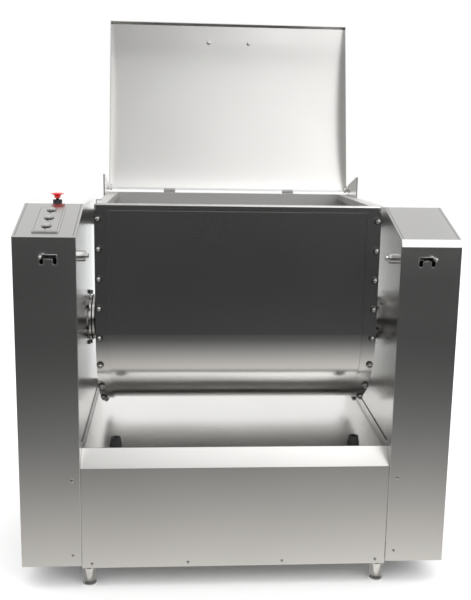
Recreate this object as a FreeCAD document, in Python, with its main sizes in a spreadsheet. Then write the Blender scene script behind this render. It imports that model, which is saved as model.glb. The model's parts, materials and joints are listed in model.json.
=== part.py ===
"""Horizontal dough mixer: a tilting U-shaped trough with a hinged lid, hung between two columns.

Millimetres, +Z up, +X right and +Y back as seen from the operator's side. The origin is on
the floor, under the middle of the machine's overall box.
"""
import FreeCAD, Part
import math
import os
import Sketcher

# Driving dimensions, one cell of the document's sheet each
SIZES = {
    # Whole machine
    "overall_width": 1300,
    "front_offset": 399.5,
    "foot_height": 75,
    "skin": 2.5,
    "panel_gap": 0.5,
    "fold_radius": 2.5,
    # Columns
    "column_width": 180,
    "trough_setback": 88,
    "trough_back_room": 88,
    "front_over_axis": 305,
    "slope_run": 230,
    "slope_rise": 76,
    "front_bevel_height": 21,
    "front_bevel_depth": 8,
    "slot_span": 50,
    "slot_play": 2,
    "slot_leg": 17,
    "lever_rise": 6.5,
    "slot_inset": 54,
    "neck_clearance": 2,
    "neck_wall": 25,
    "neck_room": 1,
    "louvre_length": 96,
    "louvre_width": 7,
    "louvre_pitch": 24,
    "louvre_count": 9,
    "louvre_base_height": 150,
    # Base between the columns
    "frame_tube": 50,
    "frame_tube_wall": 3,
    "frame_room": 10,
    "outer_rail_inset": 5,
    "inner_rail_inset": 20,
    "apron_setback": 6,
    "apron_drop": 10,
    "apron_height": 312,
    "apron_return": 22,
    "ledge_run": 44,
    "ledge_rise": 49,
    "deck_rise": 27,
    "deck_back_inset": 50,
    "upstand_height": 17,
    "foot_radius": 22,
    "foot_room": 5,
    "foot_stud_radius": 8,
    "buffer_side_room": 1.5,
    "buffer_setback": 72,
    "buffer_base_radius": 18.5,
    "buffer_top_radius": 14.5,
    "buffer_height": 25,
    "buffer_recess_radius": 5,
    "buffer_recess_depth": 8,
    "beam_depth": 50,
    "beam_height": 54,
    "beam_wall": 3,
    "beam_over_axis": 330,
    "beam_back_inset": 5,
    "buffer_clearance": 0.3,
    # Frames inside the columns
    "post_tube": 40,
    "post_tube_wall": 3,
    "post_inset": 1,
    "post_top_margin": 25,
    "tie_below_axis": 180,
    "tie_over_axis": 150,
    "bearing_plate_thickness": 12,
    "bearing_flange_width": 22,
    "bearing_flange_thickness": 16,
    "bearing_length": 46,
    "bearing_wall": 23,
    "running_clearance": 0.05,
    "seat_clearance": 0.1,
    "curved_clearance": 0.3,
    "seal_width": 15,
    "seal_thickness": 6,
    "seal_clearance": 0.3,
    # Tilting trough
    "trough_under_room": 55,
    "trough_radius": 262,
    "trough_wall": 3,
    "trough_rise": 375,
    "trough_side_gap": 44,
    "end_plate_thickness": 22,
    "band_width": 42,
    "band_thickness": 4,
    "rim_height": 20,
    "rim_overhang": 12,
    "rim_side_width": 36,
    "rim_corner_radius": 10,
    "rim_edge_radius": 5,
    "nut_flats": 17,
    "nut_hex_height": 8,
    "nut_dome_radius": 7,
    "nut_inset": 11,
    "nut_start_drop": 25,
    "nut_count": 18,
    "hub_flange_width": 48,
    "hub_flange_thickness": 10,
    "hub_wall": 14,
    "hub_bearing_depth": 6,
    "hub_inner_reach": 70,
    "hub_bolt_count": 8,
    "hub_bolt_radius": 7.5,
    "hub_bolt_height": 6.5,
    "main_bearing_length": 25,
    "seal_flange_width": 19,
    "seal_flange_thickness": 6,
    # Lid and its hinge
    "hinge_overhang": 2,
    "hinge_rise": 14.5,
    "hinge_pin_radius": 6,
    "hinge_head_radius": 9,
    "hinge_head_height": 5,
    "hinge_pin_inner_reach": 4,
    "lid_lean": 13.5,
    "lid_gap": 1,
    "lid_back_reach": 4,
    "lid_front_overhang": 44,
    "lid_inset": 3,
    "lid_skirt": 28,
    "lid_arch": 57,
    "lid_skin": 2.5,
    "ear_thickness": 4,
    "ear_length": 162,
    "ear_height": 68,
    "ear_foot": 18,
    "ear_flat": 10,
    "ear_nose_radius": 14,
    "handle_spacing": 145,
    "handle_setback": 55,
    "handle_standoff": 38,
    "handle_radius": 6,
    "handle_bend_radius": 14,
    "handle_screw_radius": 7,
    "handle_screw_height": 4,
    "tab_setback": 220,
    "tab_length": 34,
    "tab_width": 13,
    "tab_thickness": 3,
    "stop_width": 40,
    "stop_depth": 12,
    "locator_clearance": 1.5,
    "locator_height": 11,
    "locator_length": 17,
    "locator_width": 10,
    "locator_thickness": 2,
    # Tilt locks
    "lock_gap": 1.4,
    "lock_drop": 134,
    "lock_rod_radius": 7.5,
    "lock_rod_length": 160,
    "lock_rod_reach": 29,
    "lock_nose": 2,
    "lock_barrel_wall": 9,
    "lock_barrel_reach": 20,
    "lock_barrel_inner_reach": 40,
    "lever_radius": 5.5,
    "lever_reach": 26,
    "lever_hub_wall": 6.5,
    "lever_hub_length": 14,
    # Agitator
    "shaft_radius": 25,
    "shaft_overhang": 6,
    "shaft_end_inset": 4,
    "cage_end_gap": 66,
    "cage_twist": 60,
    "bar_gap": 12,
    "bar_radius": 16,
    "bar_count": 3,
    "arm_count": 3,
    "arm_thickness": 18,
    "arm_root_width": 54,
    "arm_tip_width": 30,
    "sleeve_wall": 13,
    "sleeve_length": 60,
    # Drive in the left column
    "reducer_offset": 165,
    "reducer_radius": 78,
    "reducer_width": 70,
    "reducer_gap": 6,
    "reducer_boss_radius": 42,
    "reducer_boss_height": 4,
    "input_shaft_radius": 12,
    "pulley_width": 24,
    "pulley_flange": 2,
    "pulley_rim": 6,
    "pulley_gap": 4,
    "driven_radius": 72,
    "driving_radius": 40,
    "belt_thickness": 5,
    "belt_side_clearance": 1,
    "motor_foot_height": 15,
    "motor_radius": 85,
    "motor_length": 270,
    "motor_end_radius": 66,
    "motor_cowl_radius": 76,
    "motor_plate_thickness": 10,
    "motor_plate_depth": 230,
    "motor_foot_width": 30,
    "motor_box_size": 90,
    "motor_box_height": 40,
    "window_margin": 8,
    # Controls
    "plate_width": 79,
    "plate_length": 178,
    "plate_start": 27,
    "plate_thickness": 4,
    "button_start": 64,
    "button_pitch": 58.5,
    "bezel_wall": 3.7,
    "bezel_height": 4,
    "cap_radius": 9,
    "cap_height": 7,
    "stem_radius": 4,
    "stem_clearance": 1,
    "stem_length": 24,
    "switch_size": 30,
    "switch_depth": 44,
    "stop_back": 20,
    "stop_inset": 97,
    "stop_collar_radius": 14,
    "stop_collar_height": 11,
    "stop_neck_radius": 9,
    "stop_head_radius": 21,
    "stop_head_gap": 5,
    "stop_stem_grip": 6,
    "stop_head_height": 16,
    "stop_head_edge": 4,
    "stop_stem_radius": 5,
    "stop_stem_length": 40,
    # Small fasteners and the cable entry
    "screw_radius": 5.5,
    "screw_height": 3,
    "screw_inset": 25,
    "screw_low_height": 35,
    "screw_pitch": 241,
    "apron_screw_height": 14,
    "gland_radius": 14,
    "gland_length": 24,
    "gland_height": 105,
    "gland_plug_radius": 6,
}


class Size:
    """A length or angle: the expression that the document keeps, and the number it has now."""

    def __init__(self, text, number):
        self.text = text
        self.number = float(number)

    def joined(self, sign, other, number):
        return Size("(" + self.text + " " + sign + " " + other.text + ")", number)

    def __add__(self, other):
        other = as_size(other)
        return self.joined("+", other, self.number + other.number)

    def __sub__(self, other):
        other = as_size(other)
        return self.joined("-", other, self.number - other.number)

    def __mul__(self, other):
        other = as_size(other)
        return self.joined("*", other, self.number * other.number)

    def __truediv__(self, other):
        other = as_size(other)
        return self.joined("/", other, self.number / other.number)

    def __radd__(self, other):
        return as_size(other) + self

    def __rsub__(self, other):
        return as_size(other) - self

    def __rmul__(self, other):
        return as_size(other) * self

    def __neg__(self):
        return as_size(0) - self


def as_size(value):
    return value if isinstance(value, Size) else Size(repr(float(value)), value)


def sine(angle):
    return Size("sin(" + angle.text + ")", math.sin(math.radians(angle.number)))


def cosine(angle):
    return Size("cos(" + angle.text + ")", math.cos(math.radians(angle.number)))


def arc_sine(ratio):
    text = "(asin(" + ratio.text + ") / 1 deg)"
    return Size(text, math.degrees(math.asin(ratio.number)))


def slope_angle(rise, run):
    text = "(atan(" + (rise / run).text + ") / 1 deg)"
    return Size(text, math.degrees(math.atan(rise.number / run.number)))


def root(value):
    return Size("sqrt(" + value.text + ")", math.sqrt(value.number))


doc = FreeCAD.newDocument("DoughMixer")
sheet = doc.addObject("Spreadsheet::Sheet", "Sizes")
s = {}
for row, (alias, amount) in enumerate(SIZES.items(), start=1):
    sheet.set("A%d" % row, alias)
    sheet.set("B%d" % row, str(amount))
    sheet.setAlias("B%d" % row, alias)
    s[alias] = Size("Sizes." + alias, amount)
doc.recompute()


def follow(name, value):
    """Name a size that follows from the driving ones."""
    s[name] = value


# The trunnions are built outwards from the agitator's shaft
follow("hub_bore_radius", s["shaft_radius"] + s["hub_bearing_depth"])
follow("hub_radius", s["hub_bore_radius"] + s["hub_wall"])
follow("hub_flange_radius", s["hub_radius"] + s["hub_flange_width"])
follow("hub_bolt_circle", s["hub_radius"] * 2 + s["hub_flange_width"])
follow("hub_reach", s["trough_side_gap"] + s["hub_inner_reach"])
follow("neck_bore_radius", s["hub_radius"] + s["neck_clearance"])
follow("neck_radius", s["neck_bore_radius"] + s["neck_wall"])
head_room = s["hub_flange_thickness"] + s["hub_bolt_height"] + s["seal_thickness"]
follow("neck_length", s["trough_side_gap"] - head_room - s["neck_room"])
follow("seal_outer_radius", s["hub_radius"] + s["seal_width"])
follow("bearing_radius", s["hub_radius"] + s["bearing_wall"])
follow("bearing_flange_size", s["bearing_radius"] * 2 + s["bearing_flange_width"] * 2)
follow("seal_flange_radius", s["shaft_radius"] + s["seal_flange_width"])
follow("sleeve_radius", s["shaft_radius"] + s["sleeve_wall"])

# Lengths across the machine
follow("opening_width", s["overall_width"] - s["column_width"] * 2)
follow("trough_length", s["opening_width"] - s["trough_side_gap"] * 2)
follow("lid_width", s["trough_length"] - s["lid_inset"] * 2)
follow("cage_length", s["trough_length"] - s["cage_end_gap"] * 2)
buffer_inset = s["band_width"] + s["buffer_side_room"] + s["buffer_top_radius"]
follow("buffer_spacing", s["trough_length"] - buffer_inset * 2)
follow("foot_spacing", s["opening_width"] - s["inner_rail_inset"] * 2)
hub_end = s["trough_length"] / 2 + s["hub_reach"]
follow("shaft_right_reach", hub_end - s["shaft_end_inset"])
follow("shaft_left_reach", hub_end + s["reducer_gap"] + s["reducer_width"] + s["shaft_overhang"])
rail_room = s["inner_rail_inset"] + s["frame_tube"] - s["outer_rail_inset"]
follow("motor_plate_length", s["column_width"] + rail_room)

# Depths, from the columns' front to their back
follow("axis_setback", s["trough_setback"] + s["trough_radius"])
follow("column_depth", s["axis_setback"] + s["trough_radius"] + s["trough_back_room"])
rim_reach = s["trough_radius"] + s["rim_overhang"]
follow("hinge_setback", s["axis_setback"] + rim_reach + s["hinge_overhang"])
lid_ends = s["hinge_overhang"] + s["lid_back_reach"] + s["lid_front_overhang"]
follow("lid_length", rim_reach * 2 + lid_ends)
lock_room = s["band_thickness"] + s["seat_clearance"] + s["lock_rod_radius"] + s["lock_gap"]
follow("lock_setback", s["trough_setback"] - lock_room)
follow("bar_circle_radius", s["trough_radius"] - s["trough_wall"] - s["bar_radius"] - s["bar_gap"])
follow("stop_setback", s["slope_run"] + s["stop_back"])

# Heights over the columns' foot
deck_back_height = s["apron_height"] + s["ledge_rise"] + s["deck_rise"]
follow("axis_height", deck_back_height + s["trough_radius"] + s["trough_under_room"])
follow("column_front_height", s["axis_height"] + s["front_over_axis"])
follow("beam_top_height", s["axis_height"] + s["beam_over_axis"])
follow("lower_tie_height", s["axis_height"] - s["tie_below_axis"] - s["post_tube"])
follow("upper_tie_height", s["axis_height"] + s["tie_over_axis"])
follow("lock_height", s["axis_height"] + s["trough_rise"] - s["lock_drop"])
follow("slot_width", s["lever_radius"] * 2 + s["slot_play"])
follow("slot_drop", s["slot_width"] + s["slot_leg"])
follow("slot_top_height", s["lock_height"] + s["lever_rise"] + s["slot_width"] / 2)
motor_seat = s["frame_tube"] + s["motor_plate_thickness"] + s["motor_foot_height"]
follow("motor_height", motor_seat + s["motor_radius"])

# Small round pieces
follow("lock_barrel_radius", s["lock_rod_radius"] + s["lock_barrel_wall"])
follow("lever_hub_radius", s["lock_rod_radius"] + s["lever_hub_wall"])
follow("bezel_inner_radius", s["cap_radius"] + s["curved_clearance"])
follow("bezel_radius", s["bezel_inner_radius"] + s["bezel_wall"])
follow("stem_hole_radius", s["stem_radius"] + s["stem_clearance"])

X_AXIS = FreeCAD.Vector(1, 0, 0)
Y_AXIS = FreeCAD.Vector(0, 1, 0)
TURNS = {
    "X": FreeCAD.Rotation(Y_AXIS, 90),
    "Y": FreeCAD.Rotation(X_AXIS, -90),
    "Z": FreeCAD.Rotation(),
}
kept = []


def keep(item, label):
    """Mark an object as one of the machine's sub-parts."""
    item.Label = label
    kept.append(item)
    return item


def bind(item, **properties):
    for name, value in properties.items():
        value = as_size(value)
        setattr(item, name, value.number)
        item.setExpression(name, value.text)


def place(item, x=0, y=0, z=0, turn=None, lean=None):
    """Put an object at a point; lean turns it about X, front edge up."""
    spot = [as_size(value) for value in (x, y, z)]
    turn = turn or FreeCAD.Rotation()
    if lean is not None:
        turn = FreeCAD.Rotation(-X_AXIS, lean.number)
    item.Placement = FreeCAD.Placement(FreeCAD.Vector(*[value.number for value in spot]), turn)
    for letter, value in zip("xyz", spot):
        item.setExpression("Placement.Base." + letter, value.text)
    if lean is not None:
        item.setExpression("Placement.Rotation.Angle", lean.text)
    return item


def box(name, x, y, z):
    """A block between two values on each axis."""
    item = doc.addObject("Part::Box", name)
    bind(item, Length=x[1] - x[0], Width=y[1] - y[0], Height=z[1] - z[0])
    return place(item, x[0], y[0], z[0])


def rod(name, axis, radius, span, across):
    """A cylinder along an axis; across is its place on the two other axes, in X, Y, Z order."""
    item = doc.addObject("Part::Cylinder", name)
    low, high = (as_size(value) for value in span)
    bind(item, Radius=radius, Height=high - low)
    spot = list(across)
    spot.insert("XYZ".index(axis), low)
    return place(item, *spot, turn=TURNS[axis])


def cut(name, base, *tools):
    item = doc.addObject("Part::Cut", name)
    item.Base = base
    item.Tool = tools[0] if len(tools) == 1 else fuse(name + "Tools", *tools)
    return item


def fuse(name, *shapes):
    item = doc.addObject("Part::MultiFuse", name)
    item.Shapes = list(shapes)
    return item


def group(name, *links):
    item = doc.addObject("Part::Compound", name)
    item.Links = list(links)
    return item


def mirror(name, source):
    """The same piece on the other side of the machine."""
    item = doc.addObject("Part::Mirroring", name)
    item.Source = source
    item.Normal = X_AXIS
    return item


def sketch_in(body, role):
    plane = [item for item in body.Origin.OriginFeatures if item.Role == role][0]
    sketch = body.newObject("Sketcher::SketchObject", body.Name + "Sketch")
    sketch.AttachmentSupport = [(plane, "")]
    sketch.MapMode = "FlatFace"
    return sketch


def fix_point(sketch, geometry, vertex, point, name):
    for letter, kind, value in zip("xy", ("DistanceX", "DistanceY"), point):
        value = as_size(value)
        rule = Sketcher.Constraint(kind, geometry, vertex, value.number)
        index = sketch.addConstraint(rule)
        sketch.renameConstraint(index, name + letter)
        sketch.setExpression("Constraints." + name + letter, value.text)


def flat(point):
    return FreeCAD.Vector(as_size(point[0]).number, as_size(point[1]).number, 0)


def draw_loop(sketch, corners):
    """Draw a closed outline. A corner is (x, y), or (x, y, middle) where an arc leaves it."""
    first = sketch.GeometryCount
    total = len(corners)
    starts = []
    arcs = []
    for index, corner in enumerate(corners):
        start = flat(corner)
        end = flat(corners[(index + 1) % total])
        if len(corner) == 3:
            edge = Part.Arc(start, flat(corner[2]), end)
            arcs.append(index)
        else:
            edge = Part.LineSegment(start, end)
        number = sketch.addGeometry(edge, False)
        near = sketch.getPoint(number, 1).distanceToPoint(start)
        far = sketch.getPoint(number, 2).distanceToPoint(start)
        starts.append(1 if near < far else 2)
    for index, corner in enumerate(corners):
        number = first + index
        following = (index + 1) % total
        rule = Sketcher.Constraint(
            "Coincident", number, 3 - starts[index], first + following, starts[following]
        )
        sketch.addConstraint(rule)
        fix_point(sketch, number, starts[index], corner, "c%d" % number)
    for index in arcs:
        middle = corners[index][2]
        number = sketch.addGeometry(Part.Point(flat(middle)), True)
        sketch.addConstraint(Sketcher.Constraint("PointOnObject", number, 1, first + index))
        fix_point(sketch, number, 1, middle, "m%d" % number)


def draw_path(sketch, points):
    """Draw an open line. A point is (x, y), or (x, y, middle) where an arc leaves it."""
    arcs = []
    for index, (start, end) in enumerate(zip(points[:-1], points[1:])):
        if len(start) == 3:
            edge = Part.Arc(flat(start), flat(start[2]), flat(end))
        else:
            edge = Part.LineSegment(flat(start), flat(end))
        number = sketch.addGeometry(edge, False)
        begins = 1 if sketch.getPoint(number, 1).distanceToPoint(flat(start)) < 0.001 else 2
        fix_point(sketch, number, begins, start, "p%d" % index)
        if index:
            sketch.addConstraint(Sketcher.Constraint("Coincident", number, begins, number - 1, ended))
        ended = 3 - begins
        if len(start) == 3:
            arcs.append((number, start[2]))
    fix_point(sketch, number, ended, points[-1], "p%d" % len(points))
    for arc, middle in arcs:
        point = sketch.addGeometry(Part.Point(flat(middle)), True)
        sketch.addConstraint(Sketcher.Constraint("PointOnObject", point, 1, arc))
        fix_point(sketch, point, 1, middle, "m%d" % point)


def draw_circle(sketch, centre, radius):
    radius = as_size(radius)
    shape = Part.Circle(flat(centre), FreeCAD.Vector(0, 0, 1), radius.number)
    number = sketch.addGeometry(shape, False)
    index = sketch.addConstraint(Sketcher.Constraint("Radius", number, radius.number))
    sketch.renameConstraint(index, "r%d" % number)
    sketch.setExpression("Constraints.r%d" % number, radius.text)
    fix_point(sketch, number, 3, centre, "o%d" % number)


def draw(sketch, outlines):
    for outline in outlines:
        if isinstance(outline, tuple):
            draw_circle(sketch, outline[0], outline[1])
        else:
            draw_loop(sketch, outline)


def padded(name, role, outlines, length, midplane=False):
    """A body padded from outlines: lists of corners, or (centre, radius) circles."""
    body = doc.addObject("PartDesign::Body", name)
    sketch = sketch_in(body, role)
    draw(sketch, outlines)
    pad = body.newObject("PartDesign::Pad", name + "Pad")
    pad.Profile = sketch
    pad.SideType = "Symmetric" if midplane else "One side"
    bind(pad, Length=length)
    return body


def profile_along_x(name, outlines, span, y=0, z=0):
    """Outlines in Y and Z, padded between two values of X."""
    low, high = (as_size(value) for value in span)
    body = padded(name, "YZ_Plane", outlines, high - low)
    return place(body, low, y, z)


def turned(name, corners, axis="Z", spot=(0, 0, 0), lean=None, turn=None):
    """A turned piece: corners are (radius, height) and its axis starts at spot."""
    body = doc.addObject("PartDesign::Body", name)
    sketch = sketch_in(body, "XZ_Plane")
    draw_loop(sketch, corners)
    spin = body.newObject("PartDesign::Revolution", name + "Turn")
    spin.Profile = sketch
    spin.ReferenceAxis = (sketch, ["V_Axis"])
    spin.Angle = 360
    return place(body, *spot, turn=turn or TURNS[axis], lean=lean)


def ring(outer, inner, start, end):
    """The half section of a plain ring."""
    return [(inner, start), (outer, start), (outer, end), (inner, end)]


def offset_line(corners, distance):
    """The line beside a bent line, to the right of its direction."""
    normals = []
    for start, end in zip(corners[:-1], corners[1:]):
        run = as_size(end[0]) - start[0]
        rise = as_size(end[1]) - start[1]
        length = root(run * run + rise * rise)
        normals.append((rise / length, -run / length))
    moved = []
    for index, corner in enumerate(corners):
        before = normals[max(index - 1, 0)]
        after = normals[min(index, len(normals) - 1)]
        if 0 < index < len(normals):
            share = distance / (1 + before[0] * after[0] + before[1] * after[1])
            step = ((before[0] + after[0]) * share, (before[1] + after[1]) * share)
        else:
            step = (after[0] * distance, after[1] * distance)
        moved.append((corner[0] + step[0], corner[1] + step[1]))
    return moved


def bent_sheet(corners, thickness):
    return list(corners) + offset_line(corners, thickness)[::-1]


def rounded_rectangle(x, y, radius):
    """A rectangle between two values of x and y, with round corners."""
    near = radius * (1 - math.sqrt(0.5))
    return [
        (x[0] + radius, y[0]),
        (x[1] - radius, y[0], (x[1] - near, y[0] + near)),
        (x[1], y[0] + radius),
        (x[1], y[1] - radius, (x[1] - near, y[1] - near)),
        (x[1] - radius, y[1]),
        (x[0] + radius, y[1], (x[0] + near, y[1] - near)),
        (x[0], y[1] - radius),
        (x[0], y[0] + radius, (x[0] + near, y[0] + near)),
    ]


def round_edges(body, radius, chosen):
    """Fillet the edges of a body's last feature whose middle the test accepts."""
    doc.recompute()
    base = body.Tip
    names = []
    for index, edge in enumerate(base.Shape.Edges, start=1):
        middle = edge.valueAt((edge.FirstParameter + edge.LastParameter) / 2)
        if chosen(middle, edge):
            names.append("Edge%d" % index)
    fillet = body.newObject("PartDesign::Fillet", body.Name + "Fillet")
    fillet.Base = (base, names)
    bind(fillet, Radius=radius)


def copies(name, master, placements):
    """A group of equal pieces, one at each placement."""
    doc.recompute()
    shapes = []
    for placement in placements:
        shape = master.Shape.copy()
        shape.Placement = placement.multiply(shape.Placement)
        shapes.append(shape)
    item = doc.addObject("Part::Feature", name)
    item.Shape = Part.makeCompound(shapes)
    item.Placement = FreeCAD.Placement()
    return item


def spot_number(*values):
    return FreeCAD.Vector(*[as_size(value).number for value in values])


# Places that many pieces share
outer_x = s["overall_width"] / 2
inner_x = outer_x - s["column_width"]
front_y = -s["front_offset"]
back_y = front_y + s["column_depth"]
bottom_z = s["foot_height"]
front_top_z = bottom_z + s["column_front_height"]
top_z = front_top_z + s["slope_rise"]
slope_back_y = front_y + s["slope_run"]
slope = slope_angle(s["slope_rise"], s["slope_run"])
axis_y = front_y + s["axis_setback"]
axis_z = bottom_z + s["axis_height"]
rim_base_z = axis_z + s["trough_rise"]
rim_top_z = rim_base_z + s["rim_height"]
frame_top_z = bottom_z + s["frame_tube"]
between_x = inner_x - s["panel_gap"]


# Base frame, feet and the panels between the columns
rail_front_y = front_y + s["apron_setback"] + s["skin"] + s["panel_gap"]
rail_back_y = back_y - s["skin"] - s["panel_gap"]
rail_end_x = outer_x - s["outer_rail_inset"]
foot_x = s["foot_spacing"] / 2
foot_rows = (rail_front_y + s["frame_tube"] / 2, rail_back_y - s["frame_tube"] / 2)


def rail_spans():
    """X range of each cross rail: one under each column's side and one inside each column."""
    tube = s["frame_tube"]
    inner = inner_x - s["inner_rail_inset"]
    right = [(rail_end_x - tube, rail_end_x), (inner - tube, inner)]
    left = [(-high, -low) for low, high in right]
    return left + right


def build_base_frame():
    tube = s["frame_tube"]
    wall = s["frame_tube_wall"]
    heights = (bottom_z, frame_top_z)
    bore_heights = (bottom_z + wall, frame_top_z - wall)
    solids = []
    bores = []
    for index, low_y in enumerate((rail_front_y, rail_back_y - tube)):
        name = "LongRail%d" % index
        solids.append(box(name, (-rail_end_x, rail_end_x), (low_y, low_y + tube), heights))
        bore_y = (low_y + wall, low_y + tube - wall)
        bores.append(box(name + "Bore", (-rail_end_x, rail_end_x), bore_y, bore_heights))
    across = (rail_front_y + tube - wall, rail_back_y - tube + wall)
    for index, (low, high) in enumerate(rail_spans()):
        name = "CrossRail%d" % index
        solids.append(box(name, (low, high), across, heights))
        bore_y = (rail_front_y + tube, rail_back_y - tube)
        bores.append(box(name + "Bore", (low + wall, high - wall), bore_y, bore_heights))
    for row, foot_y in enumerate(foot_rows):
        for side in (-1, 1):
            name = "StudHole%d%s" % (row, "Left" if side < 0 else "Right")
            hole = s["foot_stud_radius"] + s["seat_clearance"]
            span = (bottom_z - wall, bottom_z + wall * 2)
            bores.append(rod(name, "Z", hole, span, (side * foot_x, foot_y)))
    return cut("BaseFrame", fuse("BaseFrameTubes", *solids), *bores)


def build_feet():
    """Bullet feet: a flat pad, a tapered body and a stud into the frame."""
    radius = s["foot_radius"]
    stud = s["foot_stud_radius"]
    top = s["foot_height"] - s["seat_clearance"]
    section = [
        (0, 0),
        (radius, 0),
        (radius, top * 0.1),
        (radius * 0.82, top * 0.2),
        (radius * 0.95, top * 0.78),
        (radius * 0.7, top),
        (stud, top),
        (stud, top + s["frame_tube"] * 0.6),
        (0, top + s["frame_tube"] * 0.6),
    ]
    master = turned("FootMaster", section)
    spots = [spot_number(side * foot_x, y, 0) for y in foot_rows for side in (-1, 1)]
    return copies("Feet", master, [FreeCAD.Placement(spot, FreeCAD.Rotation()) for spot in spots])


keep(build_base_frame(), "base_frame")
keep(build_feet(), "levelling_feet")

apron_y = front_y + s["apron_setback"]
apron_low_z = bottom_z - s["apron_drop"]
ledge_low_z = bottom_z + s["apron_height"]
ledge_y = apron_y + s["ledge_run"]
ledge_z = ledge_low_z + s["ledge_rise"]
apron_line = [
    (apron_y + s["apron_return"], apron_low_z),
    (apron_y, apron_low_z),
    (apron_y, ledge_low_z),
    (ledge_y, ledge_z),
]


def build_apron():
    """The folded front panel, whose foot stops short of the front feet."""
    sheet_body = profile_along_x("Apron", [bent_sheet(apron_line, s["skin"])], (-between_x, between_x))
    notches = []
    room = s["foot_radius"] + s["foot_room"]
    y = (apron_y + s["skin"], apron_y + s["apron_return"] + 1)
    z = (apron_low_z - 1, apron_low_z + s["skin"] + 1)
    for side in (-1, 1):
        ends = sorted((side * (foot_x - room), side * outer_x), key=lambda x: x.number)
        notches.append(box("ApronNotch" + ("Left" if side < 0 else "Right"), ends, y, z))
    return cut("ApronCut", sheet_body, *notches)


keep(build_apron(), "base_apron")

deck_back_y = back_y - s["deck_back_inset"]
deck_back_z = ledge_z + s["deck_rise"]
deck_line = [
    (ledge_y + s["skin"] + s["panel_gap"], ledge_z),
    (deck_back_y, deck_back_z),
    (deck_back_y, deck_back_z + s["upstand_height"]),
]
deck = profile_along_x("Deck", [bent_sheet(deck_line, s["skin"])], (-between_x, between_x))
keep(deck, "base_deck")

rear_top_z = deck_back_z + s["upstand_height"] + s["skin"] + s["panel_gap"]
rear_line = [
    (deck_back_y, rear_top_z),
    (back_y, rear_top_z),
    (back_y, apron_low_z),
]
rear_panel = profile_along_x(
    "RearPanel", [bent_sheet(rear_line, s["skin"])], (-between_x, between_x)
)
keep(rear_panel, "base_rear_panel")

deck_run = deck_back_y - ledge_y
deck_angle = slope_angle(s["deck_rise"], deck_run)


def build_front_buffers():
    """Rubber buffers that the trough's front wall comes down on, screwed to the deck."""
    taper = [
        (0, 0),
        (s["buffer_base_radius"], 0),
        (s["buffer_top_radius"], s["buffer_height"]),
        (s["buffer_recess_radius"], s["buffer_height"]),
        (s["buffer_recess_radius"], s["buffer_height"] - s["buffer_recess_depth"]),
        (0, s["buffer_height"] - s["buffer_recess_depth"]),
    ]
    y = front_y + s["buffer_setback"]
    seat = s["seat_clearance"]
    z = ledge_z + (y - ledge_y) * s["deck_rise"] / deck_run + seat
    x = s["buffer_spacing"] / 2
    right = turned("BufferRight", taper, spot=(x, y, z))
    right.Placement.Rotation = FreeCAD.Rotation(X_AXIS, deck_angle.number)
    right.setExpression("Placement.Rotation.Angle", deck_angle.text)
    return group("FrontBuffers", right, mirror("BufferLeft", right))


keep(build_front_buffers(), "front_buffers")

beam_y = (back_y - s["beam_back_inset"] - s["beam_depth"], back_y - s["beam_back_inset"])
beam_top_z = bottom_z + s["beam_top_height"]
beam_z = (beam_top_z - s["beam_height"], beam_top_z)


def build_crossbeam():
    wall = s["beam_wall"]
    span = (-between_x, between_x)
    tube = box("BeamTube", span, beam_y, beam_z)
    bore_y = (beam_y[0] + wall, beam_y[1] - wall)
    bore = box("BeamBore", span, bore_y, (beam_z[0] + wall, beam_z[1] - wall))
    return cut("Crossbeam", tube, bore)


def build_rear_buffers():
    """Rubber stops on the crossbeam that the upright trough leans on."""
    trough_back_y = axis_y + s["trough_radius"]
    length = beam_y[0] - trough_back_y - s["buffer_clearance"] - s["seat_clearance"]
    taper = [
        (0, 0),
        (s["buffer_base_radius"], 0),
        (s["buffer_top_radius"], length),
        (0, length),
    ]
    spot = (s["buffer_spacing"] / 2, beam_y[0] - s["seat_clearance"], beam_top_z - s["beam_height"] / 2)
    right = turned("StopRight", taper, spot=spot, turn=FreeCAD.Rotation(X_AXIS, 90))
    return group("RearBuffers", right, mirror("StopLeft", right))


keep(build_crossbeam(), "rear_crossbeam")
keep(build_rear_buffers(), "rear_buffers")


# Columns
def column_line(bevelled):
    """The column's outer outline in Y and Z, from the front's foot round to the back's."""
    low = bottom_z
    corners = [(front_y, low), (front_y, front_top_z)]
    if bevelled:
        corners = [
            (front_y, low),
            (front_y, front_top_z - s["front_bevel_height"]),
            (front_y + s["front_bevel_depth"], front_top_z),
        ]
    corners += [(slope_back_y, top_z), (back_y, top_z), (back_y, low)]
    return corners


def slot_outline():
    """The slot that guides a lock lever: two legs joined at the top, seen from the front."""
    left = inner_x + s["slot_inset"]
    right = left + s["slot_span"]
    wide = s["slot_width"]
    top = bottom_z + s["slot_top_height"]
    low = top - s["slot_drop"]
    half = wide / 2
    return [
        (left, low + half),
        (left, top),
        (right, top),
        (right, low + half, (right - half, low)),
        (right - wide, low + half),
        (right - wide, top - wide),
        (left + wide, top - wide),
        (left + wide, low + half, (left + half, low)),
    ]


def through_front(name, outlines):
    """A tool that cuts outlines, drawn in X and Z, through the column's front."""
    depth = s["skin"] * 6
    body = padded(name, "XZ_Plane", outlines, depth)
    return place(body, 0, front_y + depth / 2, 0)


def slope_spot(along, above=0):
    """Y and Z of a point on the sloped top, measured up the slope and off its surface."""
    y = front_y + along * cosine(slope) - above * sine(slope)
    z = front_top_z + along * sine(slope) + above * cosine(slope)
    return y, z


panel_x = outer_x - s["column_width"] / 2
button_places = [s["button_start"] + s["button_pitch"] * index for index in range(3)]


def on_slope(item, along, above=0, x=panel_x):
    y, z = slope_spot(along, above)
    place(item, x, y, z, turn=FreeCAD.Rotation(X_AXIS, slope.number))
    item.setExpression("Placement.Rotation.Angle", slope.text)
    return item


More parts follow.
